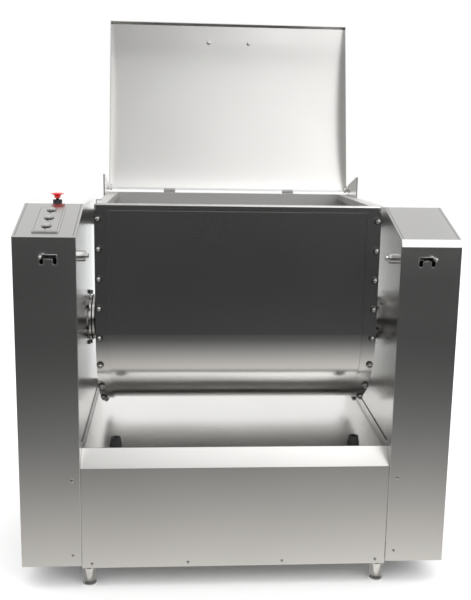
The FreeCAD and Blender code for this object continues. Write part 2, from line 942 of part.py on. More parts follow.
def stem_holes(prefix):
    holes = []
    for index, along in enumerate(button_places):
        hole = doc.addObject("Part::Cylinder", "%sHole%d" % (prefix, index + 1))
        bind(hole, Radius=s["stem_hole_radius"], Height=s["skin"] * 8)
        holes.append(on_slope(hole, along, -s["skin"] * 4))
    return holes


lock_y = front_y + s["lock_setback"]
lock_z = bottom_z + s["lock_height"]
slot_middle_z = bottom_z + s["slot_top_height"] - s["slot_width"] / 2
lever_lift = slope_angle(slot_middle_z - lock_z, s["lock_setback"])
stop_x = outer_x - s["stop_inset"]
stop_y = front_y + s["stop_setback"]
motor_z = bottom_z + s["motor_height"]
motor_plate_y = (axis_y - s["motor_plate_depth"] / 2, axis_y + s["motor_plate_depth"] / 2)


def build_column_shell(name, bevelled, tools):
    """A folded and welded skin with a neck round the trunnion, open outward and underneath."""
    corners = column_line(bevelled)
    body = padded(name, "YZ_Plane", [corners], s["column_width"])
    place(body, inner_x, 0, 0)
    far = s["column_width"].number

    def folded(middle, edge):
        upright = abs(middle.z - bottom_z.number) > 1
        return upright and middle.x < far - 1 and edge.Length > s["skin"].number * 4

    round_edges(body, s["fold_radius"], folded)
    sketch = sketch_in(body, "YZ_Plane")
    inside = offset_line(corners, s["skin"])
    inside[0] = (inside[0][0], bottom_z - s["skin"])
    inside[-1] = (inside[-1][0], bottom_z - s["skin"])
    sketch.AttachmentOffset = FreeCAD.Placement(spot_number(0, 0, s["column_width"]), FreeCAD.Rotation())
    sketch.setExpression("AttachmentOffset.Base.z", s["column_width"].text)
    draw_loop(sketch, inside)
    pocket = body.newObject("PartDesign::Pocket", name + "Hollow")
    pocket.Profile = sketch
    bind(pocket, Length=s["column_width"] - s["skin"])
    through = (inner_x - s["skin"], inner_x + s["skin"] * 2)
    inside_y = (front_y + s["skin"], back_y - s["skin"])
    foot = box(name + "Foot", through, inside_y, (bottom_z - 1, frame_top_z + s["frame_room"]))
    hub_span = (inner_x - s["neck_length"] - 1, inner_x + s["skin"] * 2)
    hub_hole = rod(name + "HubHole", "X", s["neck_bore_radius"], hub_span, (axis_y, axis_z))
    barrel = s["lock_barrel_radius"] + s["seat_clearance"]
    lock_hole = rod(name + "LockHole", "X", barrel, through, (lock_y, lock_z))
    slot = through_front(name + "Slot", [slot_outline()])
    neck_end = inner_x - s["neck_length"]
    neck = rod(name + "Neck", "X", s["neck_radius"], (neck_end, inner_x + s["skin"]), (axis_y, axis_z))
    skin = fuse(name + "Welded", cut(name + "Hollowed", body, foot), neck)
    return cut(name + "Cut", skin, hub_hole, lock_hole, slot, *tools)


def build_side_cover(name, bevelled):
    """The removable side sheet, with a field of louvres low down."""
    inset = s["skin"] + s["panel_gap"]
    corners = offset_line(column_line(bevelled), inset)
    span = (outer_x - s["skin"], outer_x)
    sheet_body = profile_along_x(name, [corners], span)
    slots = []
    middle_y = front_y + s["column_depth"] / 2
    for side in (-1, 1):
        for index in range(int(SIZES["louvre_count"])):
            z = bottom_z + s["louvre_base_height"] + s["louvre_pitch"] * index
            y = middle_y + side * s["louvre_length"] * 0.6 - s["louvre_length"] / 2
            title = "%sLouvre%d%s" % (name, index, "Front" if side < 0 else "Back")
            spans = ((span[0] - 1, span[1] + 1), (y, y + s["louvre_length"]), (z, z + s["louvre_width"]))
            slots.append(box(title, *spans))
    return cut(name + "Cut", sheet_body, *slots)


def build_column_frame(name):
    """Two posts on the base frame, joined by a lower and an upper tie."""
    tube = s["post_tube"]
    wall = s["post_tube_wall"]
    x = (inner_x + s["skin"] + s["post_inset"], inner_x + s["skin"] + s["post_inset"] + tube)
    bore_x = (x[0] + wall, x[1] - wall)
    post_top = bottom_z + s["upper_tie_height"] + tube + s["post_top_margin"]
    front = (rail_front_y + wall, rail_front_y + wall + tube)
    back = (rail_back_y - wall - tube, rail_back_y - wall)
    solids = []
    bores = []
    for title, y in (("Front", front), ("Back", back)):
        solids.append(box(name + title, x, y, (frame_top_z, post_top)))
        bore_y = (y[0] + wall, y[1] - wall)
        bores.append(box(name + title + "Bore", bore_x, bore_y, (frame_top_z, post_top)))
    for title, height in (("Lower", s["lower_tie_height"]), ("Upper", s["upper_tie_height"])):
        z = (bottom_z + height, bottom_z + height + tube)
        solids.append(box(name + title, x, (front[1] - wall, back[0] + wall), z))
        bore_z = (z[0] + wall, z[1] - wall)
        bores.append(box(name + title + "Bore", bore_x, (front[1], back[0]), bore_z))
    return cut(name + "Cut", fuse(name + "Tubes", *solids), *bores)


bearing_plate_x = inner_x + s["skin"] + s["post_inset"]
bearing_back_x = bearing_plate_x + s["bearing_plate_thickness"]


def build_bearing_plate():
    """The thick plate that carries the trough, welded between the posts and ties."""
    gap = s["seat_clearance"]
    y = (
        rail_front_y + s["post_tube_wall"] + s["post_tube"] + gap,
        rail_back_y - s["post_tube_wall"] - s["post_tube"] - gap,
    )
    z = (
        bottom_z + s["lower_tie_height"] + s["post_tube"] + gap,
        bottom_z + s["upper_tie_height"] - gap,
    )
    plate = box("BearingPlate", (bearing_plate_x, bearing_back_x), y, z)
    span = (bearing_plate_x - 1, bearing_back_x + 1)
    hole = rod("BearingPlateHole", "X", s["neck_bore_radius"], span, (axis_y, axis_z))
    return cut("BearingPlateCut", plate, hole)


def build_trunnion_bearing():
    """A square-flanged plain bearing, bolted to the bearing plate."""
    gap = s["seat_clearance"]
    start = bearing_back_x + gap
    flange_end = start + s["bearing_flange_thickness"]
    half = s["bearing_flange_size"] / 2
    outline = rounded_rectangle((-half, half), (-half, half), s["bearing_flange_thickness"])
    flange = profile_along_x("BearingFlange", [outline], (start, flange_end), axis_y, axis_z)
    span = (start, start + s["bearing_length"])
    barrel = rod("BearingBarrel", "X", s["bearing_radius"], span, (axis_y, axis_z))
    bore = s["hub_radius"] + s["running_clearance"]
    drill = (start - 1, start + s["bearing_length"] + 1)
    hole = rod("BearingBore", "X", bore, drill, (axis_y, axis_z))
    return cut("TrunnionBearing", fuse("BearingHousing", flange, barrel), hole)


def build_side(name, prefix, flip):
    """Keep a piece on the right, or its mirror image on the left."""
    return keep(mirror(prefix + "Mirror", name) if flip else name, prefix)


window_y = (motor_plate_y[0] - s["window_margin"], motor_plate_y[1] + s["window_margin"])
window_z = (bottom_z, motor_z + s["motor_radius"] + s["motor_box_height"] + s["window_margin"])
through_inner = (inner_x - s["skin"], inner_x + s["skin"] * 2)
motor_window = box("MotorWindow", through_inner, window_y, window_z)
stop_hole_z = (top_z - s["skin"] * 2, top_z + s["skin"])
collar_bore = s["stop_stem_radius"] + s["stem_clearance"]
stop_hole = rod("StopStemHole", "Z", collar_bore, stop_hole_z, (stop_x, stop_y))
shell_left = build_column_shell("ShellLeft", False, [motor_window, stop_hole] + stem_holes("Slope"))
shell_right = build_column_shell("ShellRight", True, [])
cover_left = build_side_cover("CoverLeft", False)
cover_right = build_side_cover("CoverRight", True)
column_frame = build_column_frame("ColumnFrame")
bearing_plate = build_bearing_plate()
trunnion_bearing = build_trunnion_bearing()

build_side(shell_left, "left_column_shell", True)
build_side(shell_right, "right_column_shell", False)
build_side(cover_left, "left_side_cover", True)
build_side(cover_right, "right_side_cover", False)
build_side(column_frame, "right_column_frame", False)
build_side(column_frame, "left_column_frame", True)
keep(group("BearingPlates", bearing_plate, mirror("BearingPlateLeft", bearing_plate)), "bearing_plates")
bearing_left = mirror("TrunnionBearingLeft", trunnion_bearing)
keep(group("TrunnionBearings", trunnion_bearing, bearing_left), "trunnion_bearings")

seal_section = ring(
    s["seal_outer_radius"], s["hub_radius"] + s["seal_clearance"], -s["seal_thickness"], 0
)
seal_x = inner_x - s["neck_length"] - s["seat_clearance"]
wall_seal = turned("WallSeal", seal_section, "X", (seal_x, axis_y, axis_z))
keep(group("WallSeals", wall_seal, mirror("WallSealLeft", wall_seal)), "trunnion_seals")


# Tilt locks: a sliding rod in a barrel, with a lever through the column's slot
slot_outer_x = inner_x + s["slot_inset"] + s["slot_span"] - s["slot_width"] / 2
lock_tip_x = inner_x - s["lock_rod_reach"]
barrel_section = [
    (s["lock_rod_radius"] + s["running_clearance"], -s["lock_barrel_reach"]),
    (s["lock_barrel_radius"] - 2, -s["lock_barrel_reach"]),
    (s["lock_barrel_radius"], 2 - s["lock_barrel_reach"]),
    (s["lock_barrel_radius"], s["lock_barrel_inner_reach"]),
    (s["lock_rod_radius"] + s["running_clearance"], s["lock_barrel_inner_reach"]),
]
lock_barrel = turned("LockBarrel", barrel_section, "X", (inner_x, lock_y, lock_z))
keep(group("LockBarrels", lock_barrel, mirror("LockBarrelLeft", lock_barrel)), "lock_barrels")

rod_section = [
    (0, 0),
    (s["lock_rod_radius"] - s["lock_nose"], 0),
    (s["lock_rod_radius"], s["lock_nose"]),
    (s["lock_rod_radius"], s["lock_rod_length"]),
    (0, s["lock_rod_length"]),
]
lock_rod = turned("LockRod", rod_section, "X", (lock_tip_x, lock_y, lock_z))
build_side(lock_rod, "right_lock_rod", False)
build_side(lock_rod, "left_lock_rod", True)


def build_lever():
    """A hub on the rod, with a round-ended lever that comes out through the slot."""
    half = s["lever_hub_length"] / 2
    span = (slot_outer_x - half, slot_outer_x + half)
    hub = rod("LeverHub", "X", s["lever_hub_radius"], span, (0, 0))
    length = (s["lock_setback"] + s["lever_reach"]) / cosine(lever_lift)
    arm = rod("LeverArm", "Y", s["lever_radius"], (-length, 0), (slot_outer_x, 0))
    end = doc.addObject("Part::Sphere", "LeverEnd")
    bind(end, Radius=s["lever_radius"])
    place(end, slot_outer_x, -length, 0)
    bore_radius = s["lock_rod_radius"] + s["running_clearance"]
    drill = (span[0] - 1, span[1] + 1)
    bore = rod("LeverBore", "X", bore_radius, drill, (0, 0))
    solid = cut("LeverCut", fuse("LeverSolid", hub, arm, end), bore)
    return place(solid, 0, lock_y, lock_z, lean=lever_lift)


lever = build_lever()
build_side(lever, "right_lock_lever", False)
build_side(lever, "left_lock_lever", True)


# Controls on the left column, drawn on the right and mirrored
def build_control_plate():
    half = s["plate_width"] / 2
    corners = rounded_rectangle((-half, half), (0, s["plate_length"]), s["plate_thickness"])
    body = padded("ControlPlate", "XY_Plane", [corners], s["plate_thickness"])
    on_slope(body, s["plate_start"], 0)
    return cut("ControlPlateCut", body, *stem_holes("Plate"))


keep(mirror("ControlPlateLeft", build_control_plate()), "control_plate")

bezel_section = [
    (s["bezel_inner_radius"], 0),
    (s["bezel_radius"], 0),
    (s["bezel_radius"] - 1, s["bezel_height"]),
    (s["bezel_inner_radius"], s["bezel_height"]),
]
cap_section = [
    (0, -s["stem_length"]),
    (s["stem_radius"], -s["stem_length"]),
    (s["stem_radius"], s["bezel_height"]),
    (s["cap_radius"], s["bezel_height"]),
    (s["cap_radius"], s["cap_height"] - 1),
    (s["cap_radius"] - 1, s["cap_height"]),
    (0, s["cap_height"]),
]
bezels = []
switches = []
for number, along in enumerate(button_places, start=1):
    bezel = turned("Bezel%d" % number, bezel_section)
    bezels.append(mirror("BezelLeft%d" % number, on_slope(bezel, along, s["plate_thickness"])))
    cap = turned("Cap%d" % number, cap_section)
    on_slope(cap, along, s["plate_thickness"])
    keep(mirror("CapLeft%d" % number, cap), "push_button_%d" % number)
    half = s["switch_size"] / 2
    size = s["switch_size"]
    block = box("Switch%d" % number, (0, size), (0, size), (0, s["switch_depth"]))
    well_depth = s["stem_length"] + s["plate_thickness"]
    on_slope(block, along - half, -s["switch_depth"] - s["skin"] - s["seat_clearance"], panel_x - half)
    well = doc.addObject("Part::Cylinder", "Well%d" % number)
    bind(well, Radius=s["stem_hole_radius"], Height=well_depth)
    on_slope(well, along, -well_depth)
    switches.append(mirror("SwitchLeft%d" % number, cut("SwitchCut%d" % number, block, well)))
keep(group("Bezels", *bezels), "button_bezels")
keep(group("Switches", *switches), "switch_blocks")

collar_section = ring(s["stop_collar_radius"], collar_bore, 0, s["stop_collar_height"])
collar = turned("StopCollar", collar_section, "Z", (stop_x, stop_y, top_z))
keep(mirror("StopCollarLeft", collar), "stop_collar")
head_low = s["stop_collar_height"] + s["stop_head_gap"]
stem_top = head_low + s["stop_stem_grip"]
stem_section = [
    (0, -s["stop_stem_length"]),
    (s["stop_stem_radius"], -s["stop_stem_length"]),
    (s["stop_stem_radius"], stem_top),
    (0, stem_top),
]
stem = turned("StopStem", stem_section, "Z", (stop_x, stop_y, top_z))
keep(mirror("StopStemLeft", stem), "stop_stem")
head_top = head_low + s["stop_head_height"]
edge = s["stop_head_edge"]
edge_low = head_top - edge
edge_high = head_top - edge * 0.75
flare = s["stop_head_height"] / 2
bore = s["stop_stem_radius"] + s["running_clearance"]
head_section = [
    (bore, head_low),
    (s["stop_neck_radius"], head_low),
    (s["stop_neck_radius"], head_low + flare * 0.7, (s["stop_neck_radius"] * 1.2, head_low + flare)),
    (s["stop_head_radius"], edge_low),
    (s["stop_head_radius"], edge_high, (s["stop_head_radius"] * 0.6, head_top - edge / 6)),
    (s["stop_head_radius"] * 0.2, head_top),
    (0, head_top),
    (0, stem_top + s["curved_clearance"]),
    (bore, stem_top + s["curved_clearance"]),
]
head = turned("StopHead", head_section, "Z", (stop_x, stop_y, top_z))
keep(mirror("StopHeadLeft", head), "stop_head")


# Trough
def trough_loop(radius, top):
    """The U outline about the tilt axis, from the top of one wall to the other."""
    return [(-radius, top), (-radius, 0, (0, -radius)), (radius, 0), (radius, top)]


def u_strip(name, outer, inner, top, span):
    """A bent U strip between two radii."""
    inside = [(inner, top), (inner, 0, (0, -inner)), (-inner, 0), (-inner, top)]
    outline = trough_loop(outer, top) + inside
    return profile_along_x(name, [outline], span, axis_y, axis_z)


half_trough = s["trough_length"] / 2
inner_radius = s["trough_radius"] - s["trough_wall"]
wall_top = s["trough_rise"]
shell = u_strip("TroughShell", s["trough_radius"], inner_radius, wall_top, (-half_trough, half_trough))
keep(shell, "trough_shell")


def build_end_plate():
    """A solid U-shaped plate inside the end of the shell."""
    outline = trough_loop(inner_radius - s["curved_clearance"], wall_top)
    hole = ((0, 0), s["hub_bore_radius"])
    span = (half_trough - s["end_plate_thickness"], half_trough)
    return profile_along_x("EndPlate", [outline, hole], span, axis_y, axis_z)


end_plate = build_end_plate()
keep(group("EndPlates", end_plate, mirror("EndPlateLeft", end_plate)), "end_plates")

band_inner = s["trough_radius"] + s["curved_clearance"]
band_outer = band_inner + s["band_thickness"]
band = u_strip("EndBand", band_outer, band_inner, wall_top, (half_trough - s["band_width"], half_trough))
keep(group("EndBands", band, mirror("EndBandLeft", band)), "end_bands")


def build_rim():
    """The bar frame welded round the mouth."""
    reach = s["trough_radius"] + s["rim_overhang"]
    outer = rounded_rectangle((-half_trough, half_trough), (-reach, reach), s["rim_corner_radius"])
    side = half_trough - s["rim_side_width"]
    inner = [(-side, -inner_radius), (side, -inner_radius), (side, inner_radius), (-side, inner_radius)]
    body = padded("Rim", "XY_Plane", [outer, inner], s["rim_height"])
    height = s["rim_height"].number

    def top_outside(middle, edge):
        outside = abs(middle.x) > side.number + 1 or abs(middle.y) > inner_radius.number + 1
        return outside and abs(middle.z - height) < 0.01

    round_edges(body, s["rim_edge_radius"], top_outside)
    return place(body, 0, axis_y, rim_base_z)


keep(build_rim(), "trough_rim")


def nut_places(side):
    """Equal steps along the developed U, starting below the rim at the front."""
    radius = band_outer.number
    straight = s["trough_rise"].number - s["nut_start_drop"].number
    count = int(SIZES["nut_count"])
    neutral = s["trough_radius"].number
    step = (2 * straight + math.pi * neutral) / (count - 1)
    x = side * (half_trough.number - s["nut_inset"].number)
    spots = []
    for index in range(count):
        along = step * index
        if along <= straight:
            angle, rise = 0.0, straight - along
        elif along >= straight + math.pi * neutral:
            angle, rise = math.pi, along - straight - math.pi * neutral
        else:
            angle, rise = (along - straight) / neutral, 0.0
        y = axis_y.number - math.cos(angle) * radius
        z = axis_z.number - math.sin(angle) * radius + rise
        turn = FreeCAD.Rotation(X_AXIS, 90 + math.degrees(angle))
        spots.append(FreeCAD.Placement(FreeCAD.Vector(x, y, z), turn))
    return spots


def build_nuts():
    """Domed nuts that hold the bands and shell to the end plates."""
    prism = doc.addObject("Part::Prism", "NutHex")
    prism.Polygon = 6
    across = s["nut_flats"] / math.sqrt(3)
    bind(prism, Circumradius=across, Height=s["nut_hex_height"])
    dome = doc.addObject("Part::Sphere", "NutDome")
    bind(dome, Radius=s["nut_dome_radius"])
    place(dome, 0, 0, s["nut_hex_height"])
    master = place(fuse("NutMaster", prism, dome), 0, 0, s["seat_clearance"])
    return copies("BandNuts", master, nut_places(-1) + nut_places(1))


keep(build_nuts(), "band_nuts")

hub_section = [
    (s["hub_bore_radius"], 0),
    (s["hub_flange_radius"], 0),
    (s["hub_flange_radius"], s["hub_flange_thickness"]),
    (s["hub_radius"], s["hub_flange_thickness"]),
    (s["hub_radius"], s["hub_reach"]),
    (s["hub_bore_radius"], s["hub_reach"]),
]
hub = turned("TrunnionHub", hub_section, "X", (half_trough, axis_y, axis_z))
build_side(hub, "right_trunnion_hub", False)
build_side(hub, "left_trunnion_hub", True)


def build_hub_bolts():
    """Hexagon heads round each trunnion flange."""
    bolt = doc.addObject("Part::Prism", "BoltHead")
    bolt.Polygon = 6
    bind(bolt, Circumradius=s["hub_bolt_radius"], Height=s["hub_bolt_height"])
    start = half_trough.number + s["hub_flange_thickness"].number + s["seat_clearance"].number
    spots = []
    for side in (-1, 1):
        for index in range(int(SIZES["hub_bolt_count"])):
            angle = 2 * math.pi * (index + 0.5) / SIZES["hub_bolt_count"]
            y = axis_y.number + s["hub_bolt_circle"].number / 2 * math.cos(angle)
            z = axis_z.number + s["hub_bolt_circle"].number / 2 * math.sin(angle)
            turn = FreeCAD.Rotation(Y_AXIS, 90 * side)
            spots.append(FreeCAD.Placement(FreeCAD.Vector(side * start, y, z), turn))
    return copies("HubBolts", bolt, spots)


keep(build_hub_bolts(), "hub_bolts")

bearing_outer = s["hub_bore_radius"] - s["running_clearance"]
bearing_inner = s["shaft_radius"] + s["running_clearance"]
bearing_section = ring(bearing_outer, bearing_inner, -s["main_bearing_length"], 0)
hub_end_x = half_trough + s["hub_reach"]
main_bearing = turned("MainBearing", bearing_section, "X", (hub_end_x, axis_y, axis_z))
keep(group("MainBearings", main_bearing, mirror("MainBearingLeft", main_bearing)), "main_bearings")

gland_face = half_trough - s["end_plate_thickness"]
shaft_seal_section = [
    (bearing_inner, -s["seal_flange_thickness"]),
    (s["seal_flange_radius"], -s["seal_flange_thickness"]),
    (s["seal_flange_radius"], 0),
    (bearing_outer, 0),
    (bearing_outer, s["end_plate_thickness"]),
    (bearing_inner, s["end_plate_thickness"]),
]
shaft_seal = turned("ShaftSeal", shaft_seal_section, "X", (gland_face, axis_y, axis_z))
keep(group("ShaftSeals", shaft_seal, mirror("ShaftSealLeft", shaft_seal)), "shaft_seals")


# Lid, hung on two ears at the back of the rim
hinge_y = front_y + s["hinge_setback"]
hinge_z = rim_top_z + s["hinge_rise"]
lid_angle = 90 + s["lid_lean"]


def build_ear():
    """A plate welded to the rim's side, high at the front and rounded about the hinge pin."""
    nose = s["ear_nose_radius"]
    back = hinge_y + nose
    low = rim_top_z - s["ear_foot"]
    high = rim_top_z + s["ear_height"]
    outline = [
        (hinge_y - s["ear_length"], low),
        (hinge_y - s["ear_length"], high),
        (hinge_y - s["ear_length"] + s["ear_flat"], high),
        (hinge_y, hinge_z + nose, (hinge_y + nose * math.sqrt(0.5), hinge_z + nose * math.sqrt(0.5))),
        (back, hinge_z),
        (back, rim_top_z),
        (back - nose, low),
    ]
    hole = ((hinge_y, hinge_z), s["hinge_pin_radius"] + s["seat_clearance"])
    span = (half_trough, half_trough + s["ear_thickness"])
    return profile_along_x("Ear", [outline, hole], span)


ear = build_ear()
keep(group("LidEars", ear, mirror("EarLeft", ear)), "lid_ears")

ear_face_x = half_trough + s["ear_thickness"]
pin_inner_x = s["lid_width"] / 2 - s["lid_skin"] - s["hinge_pin_inner_reach"]
pin_length = ear_face_x + s["seat_clearance"] - pin_inner_x
pin_section = [
    (0, 0),
    (s["hinge_pin_radius"], 0),
    (s["hinge_pin_radius"], pin_length),
    (s["hinge_head_radius"], pin_length),
    (s["hinge_head_radius"], pin_length + s["hinge_head_height"]),
    (0, pin_length + s["hinge_head_height"]),
]
pin = turned("HingePin", pin_section, "X", (pin_inner_x, hinge_y, hinge_z))
keep(group("HingePins", pin, mirror("HingePinLeft", pin)), "lid_hinge_pins")

# The lid is drawn shut, about its hinge axis, and turned open by the placement
lid_low = s["lid_gap"] - s["hinge_rise"]
lid_back = s["lid_back_reach"]
lid_front = s["lid_back_reach"] - s["lid_length"]
lid_edge = lid_low + s["lid_skirt"]
lid_middle = (lid_back + lid_front) / 2
half_lid = s["lid_width"] / 2
half_chord = s["lid_length"] / 2
arch_radius = (half_chord * half_chord + s["lid_arch"] * s["lid_arch"]) / (s["lid_arch"] * 2)


def arch_height(y, radius):
    """Height over the shut lid's hinge of an arch with the lid's centre and some radius."""
    away = y - lid_middle
    return lid_edge + s["lid_arch"] - arch_radius + root(radius * radius - away * away)


def lid_spot(y, z):
    """A point of the shut lid, about the hinge, in the open lid's place."""
    turned_y = y * cosine(lid_angle) + z * sine(lid_angle)
    turned_z = z * cosine(lid_angle) - y * sine(lid_angle)
    return hinge_y + turned_y, hinge_z + turned_z


def build_lid():
    """An arched sheet with skirts all round, open underneath."""
    outline = [
        (lid_back, lid_low),
        (lid_back, lid_edge, (lid_middle, lid_edge + s["lid_arch"])),
        (lid_front, lid_edge),
        (lid_front, lid_low),
    ]
    skin = s["lid_skin"]
    under = arch_height(lid_back - skin, arch_radius - skin)
    hollow = [
        (lid_back - skin, lid_low - skin),
        (lid_back - skin, under, (lid_middle, lid_edge + s["lid_arch"] - skin)),
        (lid_front + skin, under),
        (lid_front + skin, lid_low - skin),
    ]
    body = padded("Lid", "YZ_Plane", [outline], s["lid_width"], midplane=True)
    sketch = sketch_in(body, "YZ_Plane")
    draw_loop(sketch, hollow)
    pocket = body.newObject("PartDesign::Pocket", "LidHollow")
    pocket.Profile = sketch
    pocket.SideType = "Symmetric"
    bind(pocket, Length=s["lid_width"] - skin * 2)
    pin_hole = s["hinge_pin_radius"] + s["running_clearance"]
    drill = padded("LidPinHole", "YZ_Plane", [((0, 0), pin_hole)], s["lid_width"] + 2, midplane=True)
    boss_span = s["lid_width"] / 2 - skin / 2
    bosses = []
    for side in (-1, 1):
        boss = doc.addObject("Part::Cylinder", "LidBoss" + ("Left" if side < 0 else "Right"))
        bind(boss, Radius=s["hinge_pin_radius"] * 1.7, Height=skin * 3)
        start = boss_span - skin * 3 if side > 0 else -boss_span
        bosses.append(place(boss, start, 0, 0, turn=TURNS["X"]))
    solid = fuse("LidSolid", body, *bosses)
    return place(cut("LidCut", solid, drill), 0, hinge_y, hinge_z, lean=lid_angle)


keep(build_lid(), "lid_shell")

handle_y = lid_front + s["handle_setback"]
handle_tilt = arc_sine((lid_middle - handle_y) / arch_radius)


def handle_spot(above):
    """A point above the lid's outside, square to it, at the handle."""
    y = handle_y - above * sine(handle_tilt)
    z = arch_height(handle_y, arch_radius) + above * cosine(handle_tilt)
    return lid_spot(y, z)


def build_handle():
    """A bent round bar, screwed through the lid from inside."""
    body = doc.addObject("PartDesign::Body", "Handle")
    path = sketch_in(body, "XZ_Plane")
    half = s["handle_spacing"] / 2
    bend = s["handle_bend_radius"]
    top = s["handle_standoff"]
    near = bend * (1 - math.sqrt(0.5))
    points = [
        (-half, 0),
        (-half, top - bend, (near - half, top - near)),
        (bend - half, top),
        (half - bend, top, (half - near, top - near)),
        (half, top - bend),
        (half, 0),
    ]
    draw_path(path, points)
    section = sketch_in(body, "XY_Plane")
    draw_circle(section, (-half, 0), s["handle_radius"])
    pipe = body.newObject("PartDesign::AdditivePipe", "HandlePipe")
    pipe.Profile = section
    pipe.Spine = (path, [])
    y, z = handle_spot(s["seat_clearance"])
    return place(body, 0, y, z, lean=lid_angle - handle_tilt)


keep(build_handle(), "lid_handle")


def build_handle_screws():
    """Domed screw heads inside the lid, under the handle's feet."""
    radius = s["handle_screw_radius"]
    height = s["handle_screw_height"]
    section = [(0, 0), (radius, 0), (radius * 0.8, height * 0.7), (radius * 0.4, height), (0, height)]
    y, z = handle_spot(-s["lid_skin"] - s["curved_clearance"])
    screws = []
    for side, title in ((-1, "Left"), (1, "Right")):
        screw = turned("HandleScrew" + title, section)
        place(screw, side * s["handle_spacing"] / 2, y, z, lean=lid_angle - handle_tilt + 180)
        screws.append(screw)
    return group("HandleScrews", *screws)


keep(build_handle_screws(), "lid_handle_screws")


def build_tab():
    """A small angle on the lid's right skirt, for the guard switch."""
    low = half_lid + s["seat_clearance"]
    y = (-s["tab_setback"] - s["tab_length"], -s["tab_setback"])
    z = (lid_low, lid_low + s["lid_skirt"] * 0.8)
    back = box("TabBack", (low, low + s["tab_thickness"]), y, z)
    lip = box("TabLip", (low, low + s["tab_width"]), y, (z[0], z[0] + s["tab_thickness"]))
    return place(fuse("Tab", back, lip), 0, hinge_y, hinge_z, lean=lid_angle)


keep(build_tab(), "lid_switch_tab")


def build_locator():
    """A small bent strap at the rim's left front corner that centres the shut lid."""
    x = -half_lid + s["lid_skin"] + s["locator_clearance"]
    top = rim_top_z + s["locator_height"]
    line = [(x, rim_top_z + s["seat_clearance"]), (x, top), (x + s["locator_length"], top)]
    body = padded("Locator", "XZ_Plane", [bent_sheet(line, s["locator_thickness"])], s["locator_width"])
    return place(body, 0, axis_y - inner_radius, 0)


keep(build_locator(), "lid_locator")


def build_lid_stops():
    """Two stepped blocks behind the rim that the open lid's back edge comes to rest on."""
    corner_z = lid_spot(lid_back, lid_edge)[1]
    low_y = axis_y + s["trough_radius"] + s["rim_overhang"] + s["seat_clearance"]
    step_y = hinge_y + lid_back + s["lid_gap"]
    back = step_y + s["stop_depth"]
    x = s["lid_width"] / 4
    across = (x - s["stop_width"] / 2, x + s["stop_width"] / 2)
    foot = box("LidStopFoot", across, (low_y, back), (rim_base_z, rim_top_z - s["lid_gap"]))
    upstand = box("LidStopTop", across, (step_y, back), (rim_base_z, corner_z - s["buffer_clearance"]))
    right = fuse("LidStop", foot, upstand)
    return group("LidStops", right, mirror("LidStopLeft", right))


keep(build_lid_stops(), "lid_stops")


# Agitator: a through shaft that carries a cage of twisted bars
half_cage = s["cage_length"] / 2
shaft_span = (-s["shaft_left_reach"], s["shaft_right_reach"])
keep(rod("AgitatorShaft", "X", s["shaft_radius"], shaft_span, (axis_y, axis_z)), "agitator_shaft")


def helix_bar(index):
    """One round bar that winds about the shaft from the first arm to the last."""
    length = s["cage_length"] + s["arm_thickness"]
    helix = doc.addObject("Part::Helix", "BarPath%d" % index)
    bind(helix, Radius=s["bar_circle_radius"], Height=length, Pitch=length * 360 / s["cage_twist"])
    profile = doc.addObject("Part::Circle", "BarSection%d" % index)
    bind(profile, Radius=s["bar_radius"])
    lead = slope_angle(s["bar_circle_radius"] * math.pi * s["cage_twist"] / 180, length)
    place(profile, s["bar_circle_radius"], 0, 0, lean=lead)
    bar = doc.addObject("Part::Sweep", "Bar%d" % index)
    bar.Sections = [profile]
    bar.Spine = (helix, ["Edge1"])
    bar.Solid = True
    bar.Frenet = True
    start = 360.0 * index / SIZES["bar_count"] - s["cage_twist"] / 2
    turn = TURNS["X"].multiply(FreeCAD.Rotation(FreeCAD.Vector(0, 0, 1), start.number))
    return place(bar, -length / 2, axis_y, axis_z, turn=turn)


def build_arms():
    """Tapered arms from the sleeves on the shaft to the bars, stepped round by the twist."""
    arms = []
    tip = s["bar_circle_radius"]
    root_half = s["arm_root_width"] / 2
    tip_half = s["arm_tip_width"] / 2
    outline = [
        (-root_half, 0),
        (root_half, 0),
        (tip_half, tip, (0, tip + tip_half)),
        (-tip_half, tip),
    ]
    for station in range(int(SIZES["arm_count"])):
        share = station / (SIZES["arm_count"] - 1) - 0.5
        centre = s["cage_length"] * share
        for index in range(int(SIZES["bar_count"])):
            name = "Arm%d%d" % (station, index)
            body = padded(name, "XY_Plane", [outline], s["arm_thickness"])
            angle = 360.0 * index / SIZES["bar_count"] + SIZES["cage_twist"] * share
            turn = TURNS["X"].multiply(FreeCAD.Rotation(FreeCAD.Vector(0, 0, 1), angle - 90))
            arms.append(place(body, centre - s["arm_thickness"] / 2, axis_y, axis_z, turn=turn))
        half = s["sleeve_length"] / 2
        span = (centre - half, centre + half)
        arms.append(rod("Sleeve%d" % station, "X", s["sleeve_radius"], span, (axis_y, axis_z)))
    return arms


def build_cage():
    bars = [helix_bar(index) for index in range(int(SIZES["bar_count"]))]
    solid = fuse("CageSolid", *(build_arms() + bars))
    bore_radius = s["shaft_radius"] + s["running_clearance"]
    reach = half_cage + s["sleeve_length"]
    bore = rod("CageBore", "X", bore_radius, (-reach, reach), (axis_y, axis_z))
    return cut("Cage", solid, bore)


keep(build_cage(), "agitator_cage")


# Drive in the left column, drawn on the left
reducer_right_x = -(hub_end_x + s["reducer_gap"])
reducer_left_x = reducer_right_x - s["reducer_width"]
input_z = axis_z - s["reducer_offset"]
pulley_right_x = reducer_left_x - s["pulley_gap"]
pulley_left_x = pulley_right_x - s["pulley_width"]


